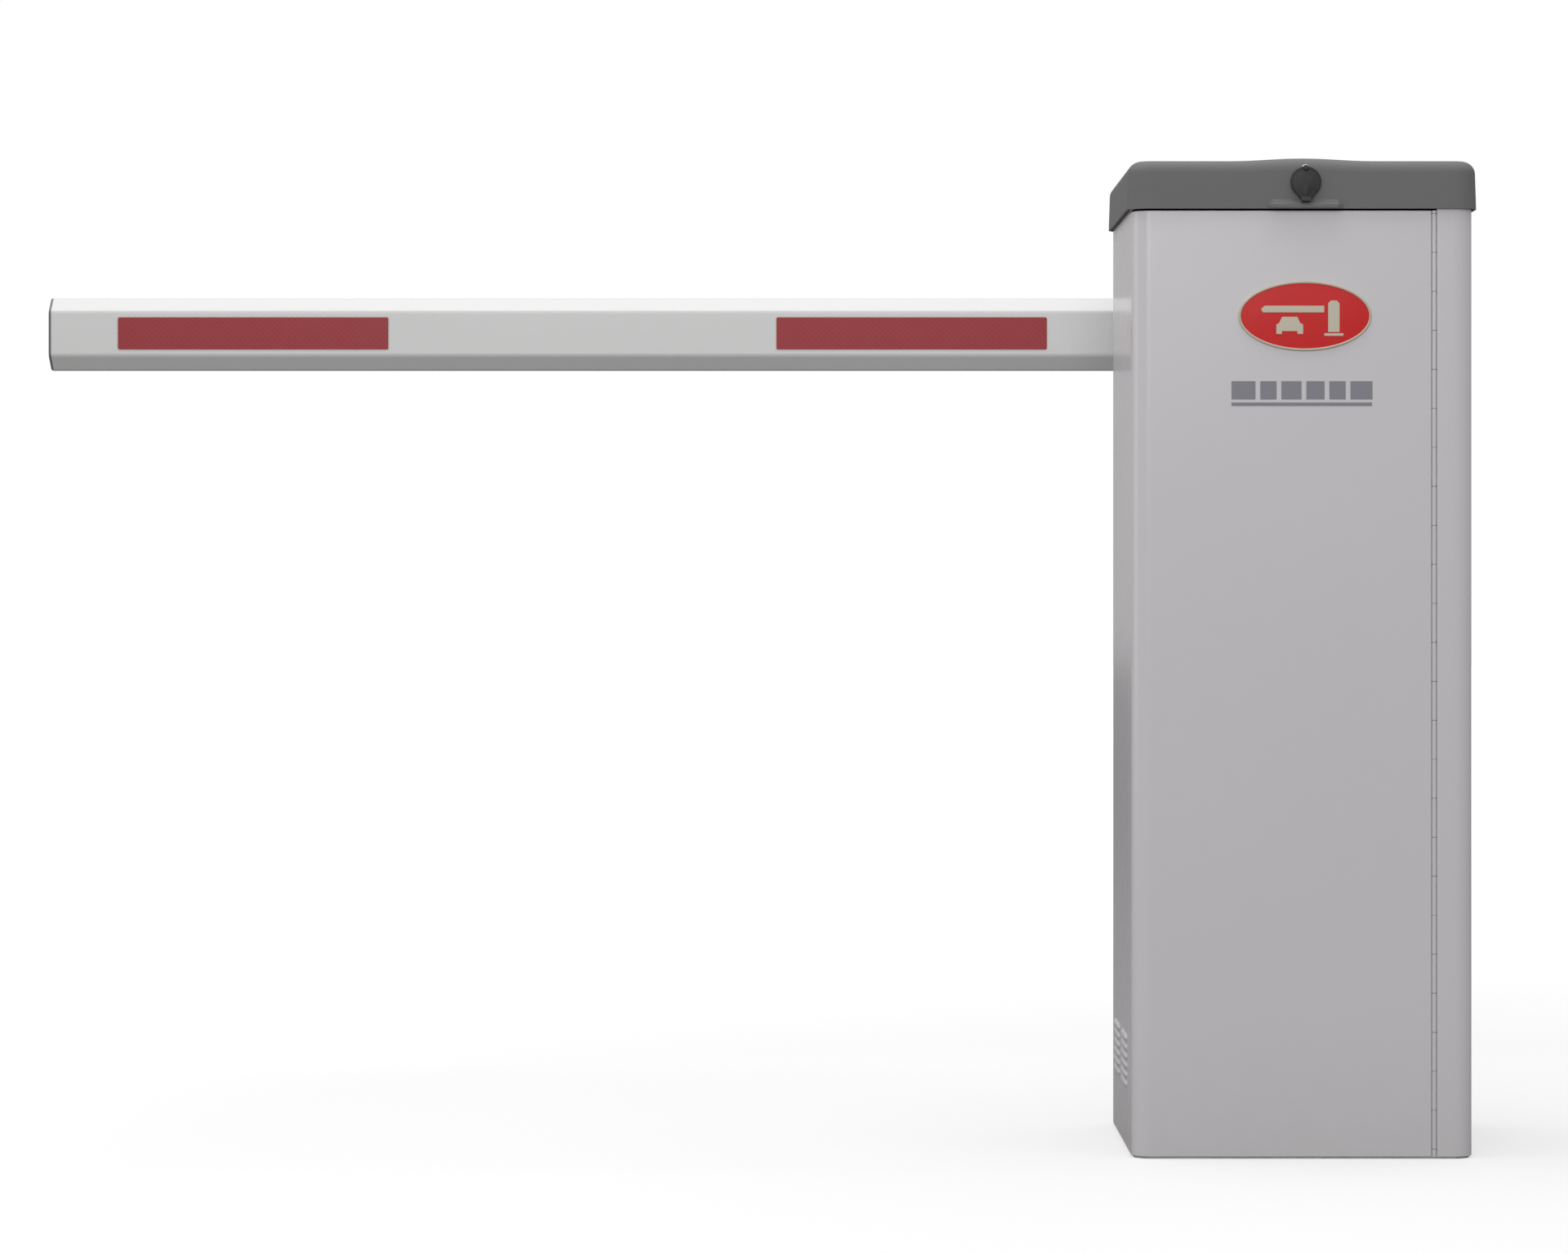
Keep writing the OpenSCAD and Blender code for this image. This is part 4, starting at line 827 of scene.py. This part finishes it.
# x from the lock's centre, and how far the section is drawn in there, in mm
for x, pull in ((-39, 4.5), (-34.5, 0.6), (-33, 0.0), (33, 0.0), (34.5, 0.6), (39, 4.5)):
    lip_rings.append([(lock_x + x * MM, (y + min(max(-y, 0), pull * 1.4)) * MM - lid_side_y,
                       lid_z + (z - (pull * 0.9 if z > 9 else 0)) * MM)
                      for y, z in lip_profile])
lip = outward(lofted("lip", lip_rings, True, True))
cut(lip, block("recess", (lock_x - 33 * MM, -5 * MM - lid_side_y, lid_z - MM),
               (lock_x + 33 * MM, -MM - lid_side_y, lid_z + 2 * MM)))
rib_x, rib_half = 100 * MM, 1.5 * MM       # the ribs' place and half their thickness
ribs = [block("rib", (x - rib_half, -length / 2, low), (x + rib_half, length / 2, high))
        for x in (-rib_x, rib_x)
        for length, low, high in ((352 * MM, lid_z + 30.3 * MM, lid_z + 42 * MM),
                                  (336 * MM, lid_z + 41 * MM, lid_top - 4 * MM))]
lid_paint = coated("lid_paint", (0.185, 0.185, 0.187), 0.62, 1.33, mottle=0.05, peel_scale=620.0,
                   peel_depth=0.08, dust=0.0)
lid = rounded_edges(joined("lid", [lid_shell, lip, *ribs]), 0.6 * MM, angle=40)
dressed(lid, lid_paint, "lid", "lid_paint", "lid_shell")


# ---- Lid lock -----------------------------------------------------------------------------
# A chromed cam lock goes through the lid's front. A drop-shaped moulded cover hangs over its
# keyway from a rivet, and the cam turns under a bent catch on the top ring.
lock_metal = plated("lock_chrome", (0.6, 0.6, 0.6), 0.28, flake_contrast=0.03, marks=0.05)
softened("lock_barrel", lock_metal, "lock_metal", 0.5 * MM)
softened("lock_plug_cam", lock_metal, "lock_metal", 0.4 * MM)
softened("lid_catch", zinc, "zinc_steel", 0.5 * MM)
cover_back, cover_r, lobe_r = -186.3 * MM, 16 * MM, 6.5 * MM
lobe_z = -14 * MM
tilt = math.acos((cover_r - lobe_r) / -lobe_z)


def drop_loop(inset, steps=14):
    """Outline of the drop about the lock's centre: a large circle and a lobe below it."""
    big, small = cover_r - inset, max(lobe_r - inset, 0.4 * MM)
    start, end = -90 + math.degrees(tilt), 270 - math.degrees(tilt)
    round_part = arc(0, 0, big, start, end, 4 * steps)
    lobe = arc(0, lobe_z, small, end, 360 + start, steps)
    return round_part + lobe[1:-1]


cover_rings = []
# each row is the inset from the drop's outline and the height above its back, in mm
for inset, out in ((0.6, 0.0), (0.0, 0.6), (0.0, 2.9), (0.35, 3.6), (1.0, 4.0), (1.8, 4.1),
                   (2.2, 3.75), (3.0, 3.85), (6.0, 4.35), (9.5, 4.75), (12.5, 4.95)):
    cover_rings.append([(lock_x + x, cover_back - out * MM, lock_z + z)
                        for x, z in drop_loop(inset * MM)])
cover = outward(lofted("cover", cover_rings, True, True))
tab = block("tab", (lock_x - 5 * MM, -194.3 * MM, lock_z - 20.5 * MM),
            (lock_x + 5 * MM, -188 * MM, lock_z - 16 * MM))
rivet_z = lock_z + 14 * MM
rivet_rings = []
for r, out in ((3.2, 3.6), (3.2, 4.9), (2.9, 5.5), (2.2, 6.1), (1.2, 6.4)):
    rivet_rings.append([(lock_x + x, cover_back - out * MM, rivet_z + z)
                        for x, z in oval(r * MM, r * MM, 32)])
rivet = outward(lofted("rivet", rivet_rings, True, True))
cover_dark = moulding("cover_plastic", (0.028, 0.028, 0.029), 0.55, grain_depth=0.25,
                      grain_scale=1800.0, edge_polish=0.05)
dust_cover = rounded_edges(joined("dust_cover", [cover, tab]), 0.7 * MM, angle=45)
dressed(dust_cover, cover_dark, "dust_cover", "lock_cover_dark", "lock_dust_cover")
dressed(smoothed(rivet), cover_dark, "dust_cover", "lock_cover_dark")
rivet.name = "dust_cover_rivet"


# ---- Boom ---------------------------------------------------------------------------------
# An octagonal aluminium extrusion, powder coated white, with soft corners and two moulded end
# caps. Strips of red retroreflective film are stuck on both of its wide faces.
boom_low, boom_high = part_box("boom_tube")
boom_cy = (boom_low.y + boom_high.y) / 2
boom_hy, boom_hz = (boom_high.y - boom_low.y) / 2, (boom_high.z - boom_low.z) / 2
cham_z, cham_y = 2 * boom_hz * 0.19, 2 * boom_hy / 3


def octagon(inset, soft=3 * MM, steps=4):
    """Outline of the boom's section, its corners rounded, as (y, z) about its axis."""
    y, z = boom_hy - inset, boom_hz - inset
    cy, cz = cham_y - 0.5 * inset, cham_z - 0.4 * inset
    corners = [(y, cz - z), (y, z - cz), (y - cy, z), (cy - y, z), (-y, z - cz), (-y, cz - z),
               (cy - y, -z), (y - cy, -z)]
    loop = []
    for i, corner in enumerate(corners):
        here = Vector(corner)
        before = (Vector(corners[i - 1]) - here).normalized() * soft
        after = (Vector(corners[(i + 1) % 8]) - here).normalized() * soft
        for k in range(steps + 1):
            t = k / steps
            loop.append(here + before * (1 - t) ** 2 + after * t ** 2)
    return loop


def boom_ring(x, inset):
    return [(x, boom_cy + p.x, shaft_z + p.y) for p in octagon(inset)]


boom_wall = 2.5 * MM
tube_rings = [boom_ring(boom_low.x, 0), boom_ring(boom_high.x, 0),
              boom_ring(boom_high.x, boom_wall), boom_ring(boom_low.x, boom_wall)]
tube_rings.append(tube_rings[0])
boom_white = coated("boom_white", (0.775, 0.775, 0.77), 0.33, mottle=0.03, peel_scale=520.0,
                    peel_depth=0.06, dust=0.0)
tube = outward(lofted("boom", tube_rings, centre_cap=False))
dressed(smoothed(tube, 50), boom_white, "boom", "boom_white", "boom_tube")

cap_low, cap_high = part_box("boom_end_caps")
caps = []
for end, step in ((cap_low.x, 1), (cap_high.x, -1)):
    rings = [boom_ring(end + step * out * MM, inset * MM) for inset, out in (
        (9.0, 0.5), (7.5, 0.5), (6.8, 0.05), (1.4, 0.0), (0.4, 0.4), (0.0, 1.2), (0.0, 2.7),
        (0.5, 3.0), (2.8, 3.0), (2.8, 20.0), (4.5, 20.0))]
    caps.append(outward(lofted("cap", rings, True, True)))
cap_plastic = moulding("cap_plastic", (0.2, 0.2, 0.205), 0.5, grain_depth=0.25)
dressed(smoothed(joined("boom_caps", caps), 40), cap_plastic, "boom", "cap_plastic",
        "boom_end_caps")

# Film: two-way diagonal cells under a clear face, with a thin pale sealed border.
film, film_in, film_out, film_place = skin_start(
    "film_skin", [("Colour", "Color", (0.4, 0.03, 0.04, 1)), ("Cell", "Float", 620.0),
                  ("Cell Depth", "Float", 0.12), ("Roughness", "Float", 0.25)])
film_turn = fed(film, "ShaderNodeMapping", {"Vector": film_place,
                                            "Rotation": (0, math.radians(45), 0)})
film_cells = fed(film, "ShaderNodeTexVoronoi", {
    "Vector": film_turn.outputs[0], "Scale": maths(film, "MULTIPLY", film_in["Cell"], 0.35),
    "Randomness": 0.0}, feature="DISTANCE_TO_EDGE")
film_edge = maths(film, "LESS_THAN", film_cells.outputs["Distance"], 0.06)
film_tone = brightened(film, film_in["Colour"], maths(
    film, "SUBTRACT", maths(film, "MULTIPLY", film_edge, 0.22), 0.04))
skin_end(film, film_out, film_tone,
         maths(film, "ADD", film_in["Roughness"],
               maths(film, "MULTIPLY", noise(film, film_place, 45.0), 0.12)),
         film_cells.outputs["Distance"], film_in["Cell Depth"], 0.0002)
film_red = skinned("film_red", film, {"Colour": (0.38, 0.03, 0.04, 1)}, ior=1.35)
film_pale = skinned("film_border", film, {"Colour": (0.62, 0.56, 0.5, 1), "Cell Depth": 0.05})

tape_low, tape_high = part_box("reflective_tapes")
tape_len, tape_hz, tape_t = 305 * MM, 19 * MM, 0.4 * MM
film_parts = {"film": [], "border": []}
for start in (tape_low.x, tape_high.x - tape_len):
    for y, out in ((tape_low.y + tape_t, -1), (tape_high.y - tape_t, 1)):
        mid = start + tape_len / 2
        for part, trim, thick in (("border", 0.0, 0.26 * MM), ("film", 1.0 * MM, 0.36 * MM)):
            loop = round_loop(tape_len / 2 - trim, tape_hz - trim, 3 * MM - trim, 5)
            rings = [[(mid + x, y + out * t, shaft_z + z) for x, z in loop]
                     for t in (0.02 * MM, thick)]
            film_parts[part].append(outward(lofted("strip", rings, True, True)))
dressed(joined("tape_film", film_parts["film"]), film_red, "boom", "reflective_red",
        "reflective_tapes")
dressed(joined("tape_border", film_parts["border"]), film_pale, "boom", "reflective_red")


# ---- Boom mount and shaft -----------------------------------------------------------------
# Behind the cabinet a steel saddle plate on the main shaft carries the boom. A hat-section
# cover and four bolts clamp the tube to it, and a rubber lip seals the shaft's hole.
frame_paint = coated("frame_paint", (0.083, 0.088, 0.095), 0.42, mottle=0.08, peel_scale=420.0,
                     peel_depth=0.12, dust=0.1)
bolt_zinc = plated("bolt_zinc", (0.5, 0.5, 0.48), 0.34, flake_contrast=0.06, marks=0.2)
ground_steel = plated("ground_steel", (0.46, 0.46, 0.455), 0.25, flake_contrast=0.02, marks=0.25)
softened("boom_saddle", frame_paint, "frame_paint", 1.2 * MM)
softened("boom_clamp_cover", frame_paint, "frame_paint", 1.0 * MM)
softened("boom_clamp_bolts", bolt_zinc, "zinc_steel", 0.7 * MM)
softened("main_shaft", ground_steel, "zinc_steel", 0.8 * MM)
softened("shaft_seal", rubber, "rubber", 1.0 * MM)


# ---- Drive frame --------------------------------------------------------------------------
# Two thick steel plates and two side plates bolted into a tall box, painted dark grey. They
# carry the shaft's cast bearing housings, the gearmotor and the rubber stops.
for node in ("frame_front_plate", "frame_rear_plate", "frame_side_plates"):
    softened(node, frame_paint, "frame_paint", 0.8 * MM)
for node in ("stop_brackets", "spring_anchor_bracket"):
    softened(node, frame_paint, "frame_paint", 0.6 * MM)
softened("frame_bolts", bolt_zinc, "zinc_steel", 0.5 * MM)
iron = moulding("cast_iron", (0.05, 0.053, 0.057), 0.55, grain_scale=420.0, grain_depth=0.7,
                clouding=0.2)
softened("bearing_housings", iron, "bearing_iron", 1.5 * MM)
softened("bearing_rings", ground_steel, "zinc_steel", 0.5 * MM)
softened("stop_bumpers", rubber, "rubber", 1.5 * MM)


# ---- Gearmotor ----------------------------------------------------------------------------
# A die-cast worm gearbox with a ribbed back, and an upright motor with a finned body under
# it. The steel worm drives a bronze wheel on the crank's shaft.
alloy = plated("cast_alloy", (0.42, 0.425, 0.43), 0.5, flake_scale=260.0, flake_contrast=0.12,
               marks=0.15)
softened("gearbox_housing", alloy, "gear_alloy", 1.2 * MM)
softened("gearbox_cover", alloy, "gear_alloy", 1.0 * MM)
softened("gearbox_bolts", bolt_zinc, "zinc_steel", 0.5 * MM)
bronze = plated("bronze", (0.55, 0.33, 0.11), 0.32, flake_contrast=0.04, marks=0.2)
softened("worm_wheel", bronze, "bronze", 0.3 * MM)
worm_low, worm_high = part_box("motor_worm")
worm_x, worm_y = (worm_low.x + worm_high.x) / 2, (worm_low.y + worm_high.y) / 2
worm_mesh = frame["nodes"]["motor_worm"].data
worm_mesh.materials.clear()
worm_mesh.materials.append(ground_steel)
worm_mesh.shade_smooth()

motor_paint = coated("motor_paint", (0.028, 0.031, 0.034), 0.38, mottle=0.08, dust=0.05,
                     peel_depth=0.15)
motor_low, motor_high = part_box("motor_body")
motor_r = 40 * MM
fin_low, fin_high = motor_low.z + 8 * MM, motor_high.z - 18 * MM
softened("motor_body", motor_paint, "motor_paint", 0.8 * MM)
fin = rounded_edges(block("fin", (motor_r - MM, -0.9 * MM, fin_low),
                          (motor_r + 4.2 * MM, 0.9 * MM, fin_high)), 0.4 * MM)

# Copies of one shape about a centre, each turned one step further than the last.
circle, circle_in, circle_out = geometry_tree(
    "round_copies", [("Shape", "Object", None), ("Centre", "Vector", (0, 0, 0)),
                     ("Step", "Vector", (0, 0, 0.1)), ("Count", "Int", 8),
                     ("Material", "Material", None)])
circle_points = fed(circle, "GeometryNodePoints", {
    "Count": circle_in.outputs["Count"], "Position": circle_in.outputs["Centre"]})
circle_turn = fed(circle, "ShaderNodeVectorMath", {
    0: circle_in.outputs["Step"], "Scale": fed(circle, "GeometryNodeInputIndex").outputs[0]},
    operation="SCALE")
circle_shape = fed(circle, "GeometryNodeObjectInfo", {"Object": circle_in.outputs["Shape"]})
circle_place = fed(circle, "GeometryNodeInstanceOnPoints", {
    "Points": circle_points.outputs[0], "Instance": circle_shape.outputs["Geometry"],
    "Rotation": circle_turn.outputs[0]})
end_tree(circle, circle_place.outputs[0], circle_in.outputs["Material"], circle_out)


def ring_of(name, shape, centre, step, count, material):
    piece = grown(name, circle, {"Shape": shape, "Centre": centre, "Step": step,
                                 "Count": count}, material)
    bpy.data.objects.remove(shape)
    return piece


fins = ring_of("motor_fins", fin, (worm_x, worm_y, 0), (0, 0, math.radians(15)), 24,
               motor_paint)
dressed(smoothed(fins), motor_paint, "cabinet", "motor_paint")
black_plastic = moulding("black_plastic", (0.022, 0.022, 0.024), 0.5, grain_depth=0.35)
softened("motor_end_cap", black_plastic, "black_plastic", 1.0 * MM)


# ---- Controls -----------------------------------------------------------------------------
# A sheet panel on four posts in front of the drive frame. A green circuit board with its
# terminals, relays and finned cooler is screwed to it, and mains modules clip on below.
softened("control_panel", cabinet_paint, "cabinet_paint", 0.5 * MM)
softened("panel_posts", bolt_zinc, "zinc_steel", 0.4 * MM)


def repeated(name, shape, step, count, material):
    """A row of copies of a shape that stands at the row's first place, and is used up."""
    piece = row_of(name, shape, (0, 0, 0), step, count, material)
    bpy.data.objects.remove(shape)
    return piece


# Board skin: solder mask over a grid of fine tracks, broken up where there are none.
board, board_in, board_out, board_place = skin_start(
    "board_skin", [("Mask", "Color", (0.01, 0.12, 0.04, 1)),
                   ("Track", "Color", (0.03, 0.26, 0.1, 1)), ("Track Scale", "Float", 55.0),
                   ("Roughness", "Float", 0.32), ("Relief", "Float", 0.4)])
board_turn = fed(board, "ShaderNodeMapping", {"Vector": board_place,
                                              "Rotation": (math.radians(90), 0, 0)})
board_brick = fed(board, "ShaderNodeTexBrick", {
    "Vector": board_turn.outputs[0], "Scale": board_in["Track Scale"], "Mortar Size": 0.03})
board_mask = maths(board, "MULTIPLY", board_brick.outputs["Fac"],
                   maths(board, "GREATER_THAN", noise(board, board_place, 60.0), 0.47))
skin_end(board, board_out, mix_colour(board, board_mask, board_in["Mask"], board_in["Track"]),
         maths(board, "ADD", board_in["Roughness"], maths(board, "MULTIPLY", board_mask, 0.12)),
         board_mask, board_in["Relief"], 0.0001)
board_green = skinned("board_green", board, {})
softened("control_board", board_green, "board_green", 0.2 * MM)

board_low, board_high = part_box("control_board")
board_face = board_low.y
terminal_low, terminal_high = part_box("board_terminals")
terminal_step, terminal_gap = 9 * MM, 0.6 * MM
terminal_count = round((terminal_high.x - terminal_low.x) / terminal_step)
terminal_mid = terminal_low.x + (terminal_step - terminal_gap) / 2
screw_z = terminal_low.z + 11 * MM
terminal = cut(
    block("terminal", terminal_low, (terminal_low.x + terminal_step - terminal_gap,
                                     terminal_high.y, terminal_high.z)),
    rod("well", (terminal_mid, terminal_low.y - MM, screw_z),
        (terminal_mid, terminal_low.y + 3 * MM, screw_z), 2.8 * MM, 20),
    block("entry", (terminal_mid - 2.4 * MM, terminal_low.y - MM, terminal_low.z + 1.6 * MM),
          (terminal_mid + 2.4 * MM, terminal_low.y + 8 * MM, terminal_low.z + 6.4 * MM)))
terminal_green = moulding("terminal_green", (0.02, 0.3, 0.12), 0.42, grain_depth=0.15)
dressed(repeated("terminals", rounded_edges(terminal, 0.35 * MM), (terminal_step, 0, 0),
                 terminal_count, terminal_green), terminal_green, "cabinet", "terminal_green",
        "board_terminals")
screw = cut(rod("screw", (terminal_mid, terminal_low.y + 0.8 * MM, screw_z),
                (terminal_mid, terminal_low.y + 4 * MM, screw_z), 2.4 * MM, 20),
            block("slot", (terminal_mid - 3 * MM, terminal_low.y, screw_z - 0.35 * MM),
                  (terminal_mid + 3 * MM, terminal_low.y + 1.6 * MM, screw_z + 0.35 * MM)))
dressed(repeated("terminal_screws", rounded_edges(screw, 0.2 * MM), (terminal_step, 0, 0),
                 terminal_count, bolt_zinc), bolt_zinc, "cabinet", "zinc_steel")

relay_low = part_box("board_relays")[0]
relay_w, relay_d, relay_h, relay_step = 20 * MM, 16 * MM, 26 * MM, 26 * MM
relay = block("relay", (relay_low.x, board_face - relay_d, relay_low.z),
              (relay_low.x + relay_w, board_face, relay_low.z + relay_h))
relay_vent = rod("vent", (relay_low.x + 4 * MM, board_face - relay_d - MM, relay_low.z + 4 * MM),
                 (relay_low.x + 4 * MM, board_face - relay_d + MM, relay_low.z + 4 * MM),
                 0.9 * MM, 12)
relay_blue = moulding("relay_blue", (0.02, 0.09, 0.4), 0.3, grain_depth=0.12)
dressed(repeated("relays", rounded_edges(cut(relay, relay_vent), 0.6 * MM), (relay_step, 0, 0),
                 4, relay_blue), relay_blue, "cabinet", "relay_blue", "board_relays")
can_r, can_long, can_step = 9 * MM, 26 * MM, 24 * MM
can_x, can_z = board_low.x + 28 * MM, board_high.z - 30 * MM
can = rod("can", (can_x, board_face - can_long, can_z), (can_x, board_face, can_z), can_r)
dressed(repeated("capacitors", rounded_edges(can, 1.2 * MM, 3), (can_step, 0, 0), 3,
                 black_plastic), black_plastic, "cabinet", "black_plastic")
can_top = cut(
    rod("can_top", (can_x, board_face - can_long - 0.3 * MM, can_z),
        (can_x, board_face - can_long + MM, can_z), can_r - 1.6 * MM),
    *[block("score", (can_x - w * MM, board_face - can_long - MM, can_z - h * MM),
            (can_x + w * MM, board_face - can_long, can_z + h * MM))
      for w, h in ((5.5, 0.3), (0.3, 5.5))])
dressed(repeated("capacitor_tops", can_top, (can_step, 0, 0), 3, ground_steel), ground_steel,
        "cabinet", "zinc_steel")

# small parts soldered flat on the board, as x and z from its lower left corner in mm
chips, chip_legs = [], []
for x, z, w, h in ((24, 86, 18, 8), (54, 84, 13, 13), (88, 88, 22, 8)):
    left, low = board_low.x + x * MM, board_low.z + z * MM
    chips.append(block("chip", (left, board_face - 2.4 * MM, low),
                       (left + w * MM, board_face - 0.3 * MM, low + h * MM)))
    for leg in range(round(w / 2.54)):
        leg_x = left + (1 + leg * 2.54) * MM
        chip_legs.append(block("leg", (leg_x, board_face - 1.2 * MM, low - 1.4 * MM),
                               (leg_x + 0.8 * MM, board_face, low + (h + 1.4) * MM)))
dressed(rounded_edges(joined("chips", chips), 0.25 * MM), black_plastic, "cabinet",
        "black_plastic")
dressed(joined("chip_legs", chip_legs), bolt_zinc, "cabinet", "zinc_steel")
for row, (x, z, count) in enumerate(((22, 74, 16), (22, 110, 14), (30, 30, 20))):
    left, low = board_low.x + x * MM, board_low.z + z * MM
    dressed(repeated("resistors_%d" % row,
                     block("resistor", (left, board_face - 0.9 * MM, low),
                           (left + 1.8 * MM, board_face, low + 3.2 * MM)),
                     (5.6 * MM, 0, 0), count, black_plastic), black_plastic, "cabinet",
            "black_plastic")

heatsink_black = plated("heatsink_black", (0.03, 0.03, 0.032), 0.45, flake_contrast=0.03,
                        marks=0.25)
softened("board_heatsink", heatsink_black, "heatsink_black", 0.35 * MM)

softened("power_switch", black_plastic, "black_plastic", 0.8 * MM)
module_low, module_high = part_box("power_switch")
lever_z = (module_low.z + module_high.z) / 2
lever = block("lever", (module_low.x + 7 * MM, module_low.y - 5 * MM, lever_z - 5 * MM),
              (module_low.x + 17 * MM, module_low.y + 2 * MM, lever_z + 4 * MM))
lever_grey = moulding("lever_grey", (0.3, 0.3, 0.3), 0.45, grain_depth=0.2)
dressed(repeated("module_levers", rounded_edges(lever, 0.8 * MM, 3), (27 * MM, 0, 0), 6,
                 lever_grey), lever_grey, "cabinet", "black_plastic")


# ---- Batteries and transformer ------------------------------------------------------------
# Two sealed batteries and a laminated transformer stand on a folded sheet shelf. The core is a
# stack of punched steel sheets, and the coil's winding is wrapped in amber tape.
softened("battery_shelf", cabinet_paint, "cabinet_paint", 0.5 * MM)
battery_case = moulding("battery_case", (0.03, 0.031, 0.035), 0.42, grain_scale=900.0,
                        grain_depth=0.4)
softened("backup_batteries", battery_case, "black_plastic", 1.6 * MM, 3)
softened("battery_terminals", bronze, "bronze", 0.2 * MM)

core_low, core_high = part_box("transformer_core")
sheet_count = 24
sheet_step = (core_high.y - core_low.y) / sheet_count
core_mid = (core_low.x + core_high.x) / 2
punched = cut(
    block("punched", core_low, (core_high.x, core_low.y + sheet_step * 0.96, core_high.z)),
    *[block("window", (core_mid + (side * 24 - 8) * MM, core_low.y - MM, core_low.z + 17 * MM),
            (core_mid + (side * 24 + 8) * MM, core_high.y, core_low.z + 65 * MM))
      for side in (-1, 1)])
core_steel = plated("core_steel", (0.17, 0.17, 0.18), 0.42, flake_contrast=0.05, marks=0.3)
dressed(repeated("core_sheets", rounded_edges(punched, 0.25 * MM, 1), (0, sheet_step, 0),
                 sheet_count, core_steel), core_steel, "cabinet", "core_steel",
        "transformer_core")
coil_tape = moulding("coil_tape", (0.5, 0.27, 0.05), 0.3, grain_scale=260.0, grain_depth=0.5,
                     clouding=0.25)
softened("transformer_coil", coil_tape, "coil_tape", 2.2 * MM, 4)


# ---- Crank, link and rocker ---------------------------------------------------------------
# Forged steel levers: the crank on the gearbox's shaft pulls the rocker on the main shaft
# round through an adjustable link rod with an eye at each end. The spring's shackle and eye
# bolt and the position sensor stand with them.
softened("crank_assembly", bolt_zinc, "zinc_steel", 0.8 * MM)
softened("link_rod", bolt_zinc, "zinc_steel", 0.6 * MM)
softened("rocker_lever", frame_paint, "frame_paint", 0.8 * MM)
softened("rocker_pins", ground_steel, "zinc_steel", 0.6 * MM)
softened("spring_shackle", bolt_zinc, "zinc_steel", 0.5 * MM)
softened("spring_eye_bolt", bolt_zinc, "zinc_steel", 0.3 * MM)
softened("position_sensor", black_plastic, "black_plastic", 0.5 * MM)


# ---- Balance spring -----------------------------------------------------------------------
# A close-wound extension spring of 5 mm wire that balances the boom. Its end hooks hold the
# shackle above and the eye bolt below.
spring_low, spring_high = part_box("balance_spring")
spring_wire = 2.6 * MM
spring_x = (spring_low.x + spring_high.x) / 2
spring_y = (spring_low.y + spring_high.y) / 2
spring_r = (spring_high.x - spring_low.x) / 2 - spring_wire
hook_r = 8 * MM                        # inside radius of the end hooks

coil, coil_in, coil_out = geometry_tree(
    "wound_wire", [("Radius", "Float", 0.014), ("Height", "Float", 0.3), ("Turns", "Float", 50.0),
                   ("Wire", "Float", 0.002), ("Start", "Vector", (0, 0, 0)),
                   ("Material", "Material", None)])
coil_line = fed(coil, "GeometryNodeCurveSpiral", {
    "Resolution": 20, "Rotations": coil_in.outputs["Turns"], "Height": coil_in.outputs["Height"],
    "Start Radius": coil_in.outputs["Radius"], "End Radius": coil_in.outputs["Radius"]})
coil_section = fed(coil, "GeometryNodeCurvePrimitiveCircle", {
    "Resolution": 8, "Radius": coil_in.outputs["Wire"]})
coil_skin = fed(coil, "GeometryNodeCurveToMesh", {
    "Curve": coil_line.outputs[0], "Profile Curve": coil_section.outputs[0],
    "Fill Caps": True})
coil_shift = fed(coil, "GeometryNodeTransform", {
    "Geometry": coil_skin.outputs[0], "Translation": coil_in.outputs["Start"]})
end_tree(coil, coil_shift.outputs[0], coil_in.outputs["Material"], coil_out)

spring_steel = plated("spring_steel", (0.3, 0.3, 0.31), 0.36, flake_contrast=0.03, marks=0.2)
coil_low, coil_high = spring_low.z + 24 * MM, spring_high.z - 24 * MM
coil_turns = math.floor((coil_high - coil_low) / (2.06 * spring_wire))
spring_parts = [grown("coil", coil, {
    "Radius": spring_r, "Height": coil_high - coil_low, "Turns": float(coil_turns),
    "Wire": spring_wire, "Start": (spring_x, spring_y, coil_low)}, spring_steel)]


def wire_path(name, points, r, sides=10):
    """A round wire along points, closed at both ends."""
    rings = []
    for i, point in enumerate(points):
        here = Vector(point)
        ahead = Vector(points[min(i + 1, len(points) - 1)])
        behind = Vector(points[max(i - 1, 0)])
        turn = (ahead - behind).to_track_quat("Z", "Y").to_matrix()
        rings.append([here + turn @ Vector((r * math.cos(a), r * math.sin(a), 0))
                      for a in (2 * math.pi * k / sides for k in range(sides))])
    return outward(lofted(name, rings, True, True))


for end_z, sign in ((spring_low.z, 1), (spring_high.z, -1)):
    centre_z = end_z + sign * (hook_r + 2 * spring_wire)
    start_z = coil_low if sign > 0 else coil_high
    points = [(spring_x + spring_r, spring_y, start_z)]
    points += [(spring_x + spring_r * 0.93, spring_y, start_z - sign * 3 * MM)]
    for i in range(25):
        a = math.radians(35 - i * 13.5)
        points.append((spring_x + (hook_r + spring_wire) * math.cos(a), spring_y,
                       centre_z + sign * (hook_r + spring_wire) * math.sin(a)))
    spring_parts.append(wire_path("hook", points, spring_wire))
spring = joined("spring", spring_parts)
dressed(smoothed(spring, 70), spring_steel, "cabinet", "zinc_steel", "balance_spring")
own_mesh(spring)
